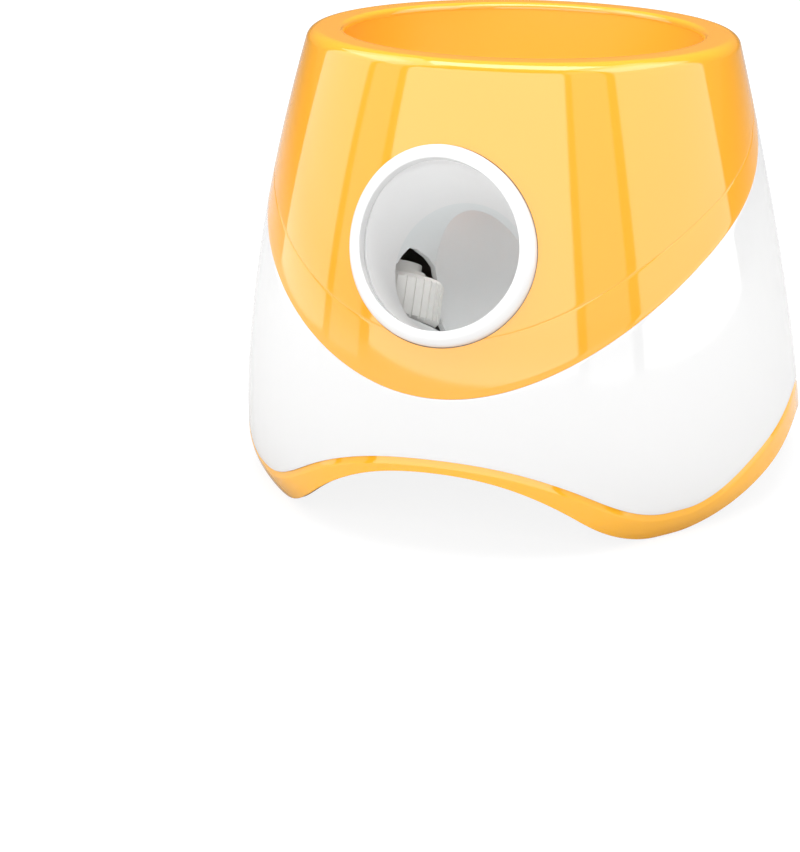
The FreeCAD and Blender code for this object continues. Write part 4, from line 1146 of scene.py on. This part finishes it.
@dataclass
class Bowl:
    """Funnel under the rim, with the throat in front of its middle."""

    columns: int = 288
    wall: float = 2.4 * MM
    flange: float = 9.0 * MM
    mouth_radius: float = BOWL_MOUTH
    mouth_depth: float = 3.2 * MM
    waist_radius: float = 64.0 * MM
    waist_depth: float = 30.0 * MM
    throat_radius: float = 28.0 * MM
    throat_height: float = 158.0 * MM
    throat_setback: float = 39.94 * MM
    waist_shift: float = 4.0 * MM
    waist_share: float = 0.44
    collar_length: float = 7.0 * MM
    collar_socket: float = 2.5 * MM
    collar_top: float = 0.6 * MM
    inside_rows: int = 36
    outside_rows: int = 12
    outside_span: tuple[float, float] = (0.9, 0.05)

    def build(self) -> None:
        """Bowl with its flange and collar."""
        socket = self.throat_radius + self.collar_socket
        outer = self.mouth_radius + self.flange
        collar = ((self.throat_radius, self.collar_top), (socket, self.collar_top),
                  (socket, self.collar_length), (socket + self.wall, self.collar_length),
                  (socket + self.wall, self.wall))
        flange = ((self.mouth_radius + self.wall, self.wall), (outer, self.wall), (outer, 0.0))

        rows = [self._inside(share, 0.0) for share in spread(0.0, 1.0, self.inside_rows)]
        rows += [lambda angle, r=radius, d=drop: self._throat(angle, r, -d) for radius, drop in collar]
        rows += [self._inside(share, self.wall) for share in spread(*self.outside_span, self.outside_rows)]
        rows += [lambda angle, r=radius, d=depth: self._mouth(angle, r, d) for radius, depth in flange]
        bowl = Piece("bowl", wrapped(rows, self.columns))
        # Darker amber than the hood's: painted shade inside the funnel.
        bowl.dressed(SHADED_BOWL_AMBER, FIXED, ["hopper_bowl"])

    def _mouth(self, angle: float, radius: float, depth: float) -> Vector:
        """Point in the mouth's plane, or under it by a depth."""
        return OUTLINE.at(angle, OUTLINE.rim_height - self.mouth_depth - depth, radius)

    def _waist(self, angle: float, radius: float) -> Vector:
        """Point in the middle section, between the mouth's plane and the throat's.

        Args:
            angle: Angle from +X.
            radius: Distance from the section's centre.

        Returns:
            The point.
        """
        rim = OUTLINE.centre(OUTLINE.rim_height)
        tilt = OUTLINE.rim_tilt
        y = rim.y - self.waist_depth * math.sin(tilt)
        z = rim.z - self.waist_depth * math.cos(tilt)
        centre = Vector((0.0, (y - self.throat_setback) / 2.0 + self.waist_shift, z))
        half = tilt / 2.0
        across = Vector((0.0, math.cos(half), -math.sin(half)))
        return centre + X_AXIS * (radius * math.cos(angle)) + across * (radius * math.sin(angle))

    def _throat(self, angle: float, radius: float, rise: float = 0.0) -> Vector:
        """Point in the throat's plane, or over it by a rise."""
        return Vector((radius * math.cos(angle), radius * math.sin(angle) - self.throat_setback,
                       self.throat_height + rise))

    def _inside(self, share: float, grow: float) -> Row:
        """Row of the funnel: a parabola through mouth, waist and throat.

        Args:
            share: Share of the way from the mouth to the throat.
            grow: How far outside the inner face the row lies.

        Returns:
            The row.
        """
        middle = self.waist_share
        first = (share - middle) * (share - 1.0) / middle
        second = share * (share - 1.0) / (middle * (middle - 1.0))
        third = share * (share - middle) / (1.0 - middle)

        def place(angle: float) -> Vector:
            """Point of the row at an angle."""
            return (self._mouth(angle, self.mouth_radius + grow, grow) * first
                    + (self._waist(angle, self.waist_radius + grow) - Z_AXIS * grow) * second
                    + self._throat(angle, self.throat_radius + grow, -grow) * third)
        return place


@dataclass
class Muzzle:
    """Bezel and conical barrel."""

    columns: int = 224
    ring_radius: float = BEZEL_RADIUS
    mouth_radius: float = 37.0 * MM
    ring_proud: float = 4.6 * MM
    ring_round: float = 3.2 * MM
    ring_inner_round: float = 0.6 * MM
    ring_lip: float = 1.6 * MM
    ring_depth: float = 20.0 * MM
    wall: float = 2.2 * MM
    gap: float = 0.3 * MM
    bore: float = 28.0 * MM
    path_drop: float = 9.0 * MM
    taper_end: float = 62.0 * MM
    barrel_split: float = 37.0 * MM
    side_rows: int = 6
    shoulder_rows: int = 10
    face_rows: int = 4
    edge_rows: int = 4
    bore_rows: int = 16
    outside_rows: int = 6

    def _on_skin(self, angle: float, radius: float, proud: float) -> Vector:
        """Point of the bezel's face at a radius, standing proud of the skin."""
        return BARREL.at(angle, BARREL.depth_where(angle, radius, -proud), radius)

    def build_ring(self) -> None:
        """White bezel with a rounded face."""
        inner = self.mouth_radius + self.ring_inner_round
        recess = self.mouth_radius + self.wall + self.gap
        rows: list[Row] = [lambda angle: BARREL.at(angle, self.ring_depth, self.ring_radius)]
        rows += [lambda angle, s=share: self._side(angle, s) for share in spread(0.0, 1.0, self.side_rows)]
        rows += [lambda angle, t=math.radians(turn): self._shoulder(angle, t)
                 for turn in spread(0.0, 90.0, self.shoulder_rows)[1:]]
        rows += [lambda angle, r=radius: self._on_skin(angle, r, self.ring_proud)
                 for radius in spread(self.ring_radius - self.ring_round, inner, self.face_rows)[1:]]
        rows += [lambda angle, t=math.radians(turn): self._inner_edge(angle, t)
                 for turn in spread(90.0, 180.0, self.edge_rows)[1:]]
        rows += [lambda angle, r=radius: self._on_skin(angle, r, -self.ring_lip)
                 for radius in (self.mouth_radius, recess)]
        rows.append(lambda angle: BARREL.at(angle, self.ring_depth, recess))
        ring = Piece("muzzle_ring", wrapped(rows, self.columns))
        ring.dressed(BEZEL_WHITE, FIXED, ["barrel_ring"])

    def _side(self, angle: float, share: float) -> Vector:
        """Point on the bezel's outer wall between its back and its shoulder."""
        front = BARREL.depth_where(angle, self.ring_radius, self.ring_round - self.ring_proud)
        return BARREL.at(angle, self.ring_depth * (1.0 - share) + front * share, self.ring_radius)

    def _shoulder(self, angle: float, turn: float) -> Vector:
        """Point on the round between the bezel's wall and its face.

        Args:
            angle: Angle round the barrel.
            turn: Turn round the edge, in radians, 0 at the wall.

        Returns:
            The point.
        """
        radius = self.ring_radius - self.ring_round * (1.0 - math.cos(turn))
        proud = self.ring_proud - self.ring_round * (1.0 - math.sin(turn))
        return self._on_skin(angle, radius, proud)

    def _inner_edge(self, angle: float, turn: float) -> Vector:
        """Point on the small round at the bezel's inner edge.

        Args:
            angle: Angle round the barrel.
            turn: Turn round the edge, in radians, a right angle at the face.

        Returns:
            The point.
        """
        radius = self.mouth_radius + self.ring_inner_round * (1.0 + math.cos(turn))
        proud = self.ring_proud - self.ring_inner_round * (1.0 - math.sin(turn))
        return self._on_skin(angle, radius, proud)

    def _cone(self, angle: float, depth: float, grow: float) -> Vector:
        """Point on the barrel's cone.

        Args:
            angle: Angle round the barrel.
            depth: Depth behind the muzzle.
            grow: How far outside the inner face the point lies.

        Returns:
            The point.
        """
        share = max(0.0, depth) / self.taper_end
        radius = self.mouth_radius + (self.bore - self.mouth_radius) * share + grow
        return BARREL.at(angle, depth, radius, -self.path_drop * share)

    def _front(self, angle: float, grow: float) -> float:
        """Depth of the barrel's front edge."""
        return BARREL.depth_where(angle, self.mouth_radius + grow, self.ring_lip + self.gap)

    def build_barrel(self) -> None:
        """Conical barrel between the bezel and the launch chamber."""
        rows = [lambda angle, s=share: self._along(angle, s, 0.0)
                for share in spread(0.0, 1.0, self.bore_rows)]
        rows += [lambda angle, s=share: self._along(angle, s, self.wall)
                 for share in spread(1.0, 0.0, self.outside_rows)]
        barrel = Piece("barrel", wrapped(rows, self.columns))
        barrel.dressed(BARREL_GREY, FIXED, ["launch_barrel"])

    def _along(self, angle: float, share: float, grow: float) -> Vector:
        """Point on the barrel's wall at a share of its length."""
        front = self._front(angle, grow)
        return self._cone(angle, front + (self.barrel_split - front) * share, grow)


# ---- nodes that keep their own mesh -------------------------------------------------------
@dataclass
class KeptNodes:
    """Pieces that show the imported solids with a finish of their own.

    Args:
        weld: Distance under which points of a node's loose triangles merge.
        crease_deg: Angle past which an edge stays sharp, in degrees.
        finishes: Finish of each node, by the node's name.
    """

    weld: float = 0.003 * MM
    crease_deg: float = 30.0
    finishes: dict[str, Finish] = field(default_factory=lambda: {
        "chamber_left": CHAMBER_GREY,
        "chamber_right": CHAMBER_GREY,
        "wheel_tread_left": TREAD_WHITE,
        "wheel_tread_right": TREAD_WHITE,
        "wheel_hub_left": HUB_WHITE,
        "wheel_hub_right": HUB_WHITE,
        "motor_shaft_left": SHAFT_STEEL,
        "motor_shaft_right": SHAFT_STEEL,
        "motor_left": MOTOR_STEEL,
        "motor_right": MOTOR_STEEL,
        "motor_bracket_left": BRACKET_GREY,
        "motor_bracket_right": BRACKET_GREY,
        "base_plate": BASE_WHITE,
        "foot_pads": PAD_WHITE,
        "base_screws": SCREW_STEEL,
        "chamber_screws": SCREW_STEEL,
        "bracket_screws": SCREW_STEEL,
        "motor_screws": SCREW_STEEL,
        "board_screws": SCREW_STEEL,
        "ball_stop": STOP_WHITE,
        "ball_stop_guide": BRACKET_GREY,
        "stop_pinion": GEAR_IVORY,
        "stop_gearmotor": GEAR_BRASS,
        "sensor_emitter": SENSOR_BLACK,
        "sensor_receiver": SENSOR_BLACK,
        "battery_cells": CELL_BLUE,
        "battery_holder": HOLDER_BLACK,
        "control_panel": PANEL_GREY,
        "power_button": BUTTON_AMBER,
        "distance_button": BUTTON_AMBER,
        "status_lights": LIGHT_WHITE,
        "control_board": BOARD_GREEN,
        "tact_switches": SWITCH_BLACK,
        "usb_socket": SOCKET_NICKEL,
        "speaker": SPEAKER_BLACK,
    })

    def build(self) -> None:
        """Shades and dresses each node."""
        for name, finish in self.finishes.items():
            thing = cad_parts[name]
            thing.data.polygons.foreach_set("use_smooth", [True] * len(thing.data.polygons))
            merge = thing.modifiers.new("merge", "WELD")
            merge.merge_threshold = self.weld
            split = thing.modifiers.new("crease", "EDGE_SPLIT")
            split.split_angle = math.radians(self.crease_deg)
            thing.data.materials.clear()
            thing.data.materials.append(finish.material())
            log.info("node %s: %s", name, finish.name)


# ---- studio -------------------------------------------------------------------------------
def bearing(azimuth: float, elevation: float = 0.0) -> Vector:
    """Direction away from the launcher.

    Args:
        azimuth: Degrees round from the front, 90 to the right.
        elevation: Degrees over the floor.

    Returns:
        The direction, one metre long.
    """
    turn, lift = math.radians(azimuth), math.radians(elevation)
    return Vector((math.sin(turn) * math.cos(lift), -math.cos(turn) * math.cos(lift), math.sin(lift)))


@dataclass(frozen=True)
class SoftPanel:
    """Upright light panel that stands on the floor and faces the launcher.

    Args:
        name: Name of the lamp.
        start: Direction of its left edge from the launcher, in degrees, 0 in front and 90 to the right.
        end: Direction of its right edge.
        distance: Distance from the launcher.
        height: Height of the panel.
        radiance: Brightness of its face.
    """

    name: str
    start: float
    end: float
    distance: float
    height: float
    radiance: float

    def place(self) -> None:
        """Stands the panel on the floor."""
        half = math.radians((self.end - self.start) / 2.0)
        away = bearing((self.start + self.end) / 2.0)
        width = 2.0 * self.distance * math.tan(half)
        where = away * self.distance + Z_AXIS * (self.height / 2.0)
        add_lamp(self.name, where, -away, width, self.height, self.radiance)


def add_lamp(name: str, where: Vector, towards: Vector, width: float, height: float,
             radiance: float, mirrored: bool = True) -> None:
    """Rectangular lamp that the camera doesn't see.

    Args:
        name: Name of the lamp.
        where: Its centre.
        towards: Direction that it shines in.
        width: Width of its face.
        height: Height of its face.
        radiance: Brightness of its face.
        mirrored: Whether it shows in glossy surfaces.
    """
    lamp = bpy.data.lights.new(name, "AREA")
    lamp.shape = "RECTANGLE"
    lamp.size = width
    lamp.size_y = height
    lamp.energy = radiance * math.pi * width * height
    thing = linked(name, lamp)
    thing.location = where
    thing.rotation_mode = "QUATERNION"
    thing.rotation_quaternion = towards.to_track_quat("-Z", "Y")
    thing.visible_camera = False
    thing.visible_glossy = mirrored


@dataclass
class Studio:
    """Pale floor, soft light and the camera.

    Args:
        image_width: Width of the rendered frame, in pixels.
        image_height: Height of the rendered frame.
        sensor: Width of the camera's sensor, in millimetres.
        focal_pixels: Focal length, in pixels.
        centre_x: Place of the lens's axis in the frame, from the left.
        centre_y: Place of the lens's axis in the frame, from the top.
        elevation: Degrees of the camera over the floor.
        azimuth: Degrees of the camera round from the front.
        roll: Degrees by which the camera leans.
        distance: Distance of the camera from its target.
        near_clip: Nearest thing that the camera sees.
        far_clip: Farthest thing that the camera sees.
        target: Point that the camera looks at.
        sky: Strength of the even light all round.
        high_distance: Distance of the high lamps from the target.
        high_size: Width and height of a high lamp.
        high_lamps: Name, azimuth, elevation and radiance of each high lamp, and whether gloss shows it.
        floor_half: Half the width of the floor.
        floor_roughness: Roughness of the floor.
        floor_gloss: Strength of the floor's plain reflection.
        floor_shade: Whiteness of the floor as it lights the launcher.
        floor_white: Strength of the plain white that the camera sees in its place.
        floor_lift: Share of that white under the launcher.
        shade_reach: Distances at which that share starts to grow and is whole.
        panels: Upright panels round the launcher.
    """

    image_width: float = 800.0
    image_height: float = 852.0
    sensor: float = 36.0
    focal_pixels: float = 2974.0
    centre_x: float = 521.8
    centre_y: float = 214.0
    elevation: float = 17.97
    azimuth: float = 18.06
    roll: float = -0.66
    distance: float = 1.416
    near_clip: float = 0.05
    far_clip: float = 50.0
    target: Vector = field(default_factory=lambda: Vector((0.0, 0.0, 118.8 * MM)))
    sky: float = 0.16
    high_distance: float = 1.1
    high_size: tuple[float, float] = (1.0, 0.6)
    high_lamps: tuple[tuple[str, float, float, float, bool], ...] = (
        ("high_right", 100.0, 50.0, 1.5, True),
        ("high_left", -85.0, 50.0, 1.5, True),
        ("high_back", 190.0, 60.0, 5.2, False),
        ("top", 0.0, 86.0, 4.3, True),
    )
    floor_half: float = 12.0
    floor_roughness: float = 0.9
    floor_gloss: float = 0.1
    floor_shade: float = 0.52
    floor_white: float = 1.2
    floor_lift: float = 0.72
    shade_reach: tuple[float, float] = (0.16, 0.42)
    panels: tuple[SoftPanel, ...] = (
        SoftPanel("front", -44.0, 40.0, 0.75, 0.9, 1.9),
        SoftPanel("left", -101.0, -66.0, 0.72, 1.2, 1.3),
        SoftPanel("right", 66.0, 120.0, 0.72, 1.2, 1.45),
        SoftPanel("left_gap", -62.0, -47.0, 0.72, 0.9, 0.7),
        SoftPanel("right_gap", 43.0, 61.0, 0.72, 0.9, 0.7),
    )

    def build(self) -> None:
        """Sets up the floor, the light and the camera."""
        self._floor()
        self._world()
        for panel in self.panels:
            panel.place()
        for name, azimuth, elevation, radiance, mirrored in self.high_lamps:
            away = bearing(azimuth, elevation)
            where = self.target + away * self.high_distance
            add_lamp(name, where, -away, *self.high_size, radiance, mirrored)
        self._camera()
        bpy.context.scene.view_settings.view_transform = "Standard"
        log.info("studio: %d panels, %d high lamps", len(self.panels), len(self.high_lamps))

    def _floor(self) -> None:
        """Large pale floor."""
        bm = bmesh.new()
        bmesh.ops.create_grid(bm, x_segments=1, y_segments=1, size=self.floor_half)
        mesh = bpy.data.meshes.new("floor")
        bm.to_mesh(mesh)
        bm.free()
        floor = linked("floor", mesh)
        mesh.materials.append(self._floor_material())

    def _floor_material(self) -> bpy.types.Material:
        """Matt white that runs out into plain white away from the launcher where the camera sees it.

        Returns:
            The material.
        """
        material = bpy.data.materials.new("pale floor")
        material.use_nodes = True
        tree = material.node_tree
        matt = tree.nodes["Principled BSDF"]
        set_inputs(matt, {"Base Color": (*[self.floor_shade] * 3, 1.0), "Roughness": self.floor_roughness,
                          "Specular IOR Level": self.floor_gloss})
        white = add_node(tree, "ShaderNodeEmission", {"Strength": self.floor_white})
        place = add_node(tree, "ShaderNodeTexCoord", {})
        away = add_node(tree, "ShaderNodeVectorMath", {}, operation="LENGTH")
        start, whole = self.shade_reach
        fade = add_node(tree, "ShaderNodeMapRange",
                        {"From Min": start, "From Max": whole, "To Min": self.floor_lift, "To Max": 1.0},
                        interpolation_type="SMOOTHSTEP")
        path = add_node(tree, "ShaderNodeLightPath", {})
        seen = add_node(tree, "ShaderNodeMath", {}, operation="MULTIPLY")
        choose = add_node(tree, "ShaderNodeMixShader", {})
        join(tree,
             (place.outputs["Object"], away.inputs[0]),
             (away.outputs["Value"], fade.inputs["Value"]),
             (fade.outputs["Result"], seen.inputs[0]),
             (path.outputs["Is Camera Ray"], seen.inputs[1]),
             (seen.outputs[0], choose.inputs["Fac"]),
             (matt.outputs[0], choose.inputs[1]),
             (white.outputs[0], choose.inputs[2]),
             (choose.outputs[0], tree.nodes["Material Output"].inputs["Surface"]))
        return material

    def _world(self) -> None:
        """Even pale surroundings, white where the camera sees them."""
        world = bpy.data.worlds.new("studio")
        world.use_nodes = True
        bpy.context.scene.world = world
        tree = world.node_tree
        white = (1.0, 1.0, 1.0, 1.0)
        light = tree.nodes["Background"]
        set_inputs(light, {"Color": white, "Strength": self.sky})
        seen = add_node(tree, "ShaderNodeBackground", {"Color": white, "Strength": 1.0})
        path = add_node(tree, "ShaderNodeLightPath", {})
        choose = add_node(tree, "ShaderNodeMixShader", {})
        join(tree,
             (path.outputs["Is Camera Ray"], choose.inputs["Fac"]),
             (light.outputs[0], choose.inputs[1]),
             (seen.outputs[0], choose.inputs[2]),
             (choose.outputs[0], tree.nodes["World Output"].inputs["Surface"]))

    def _camera(self) -> None:
        """Camera that stands where the launcher is seen from."""
        turn, roll = math.radians(self.azimuth), math.radians(self.roll)
        back = bearing(self.azimuth, self.elevation)
        right = Vector((math.cos(turn), math.sin(turn), 0.0))
        up = back.cross(right)
        level_right = right * math.cos(roll) + up * math.sin(roll)
        level_up = up * math.cos(roll) - right * math.sin(roll)
        data = bpy.data.cameras.new("camera")
        data.sensor_width = self.sensor
        long_side = max(self.image_width, self.image_height)
        data.lens = self.focal_pixels / long_side * self.sensor
        data.shift_x = (self.image_width / 2.0 - self.centre_x) / long_side
        data.shift_y = (self.centre_y - self.image_height / 2.0) / long_side
        data.clip_start = self.near_clip
        data.clip_end = self.far_clip
        camera = linked("camera", data)
        axes = Matrix((level_right, level_up, back)).transposed().to_4x4()
        camera.matrix_world = Matrix.Translation(self.target + back * self.distance) @ axes
        bpy.context.scene.camera = camera


def main() -> None:
    """Builds the launcher's looks piece by piece."""
    logging.basicConfig(level=logging.INFO, format="%(name)s: %(message)s")
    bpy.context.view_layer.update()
    shells = Shells()
    shells.build_hood()
    shells.build_skirt()
    shells.build_band()
    Bowl().build()
    muzzle = Muzzle()
    muzzle.build_ring()
    muzzle.build_barrel()
    KeptNodes().build()
    Studio().build()


if __name__ == "__main__":
    main()
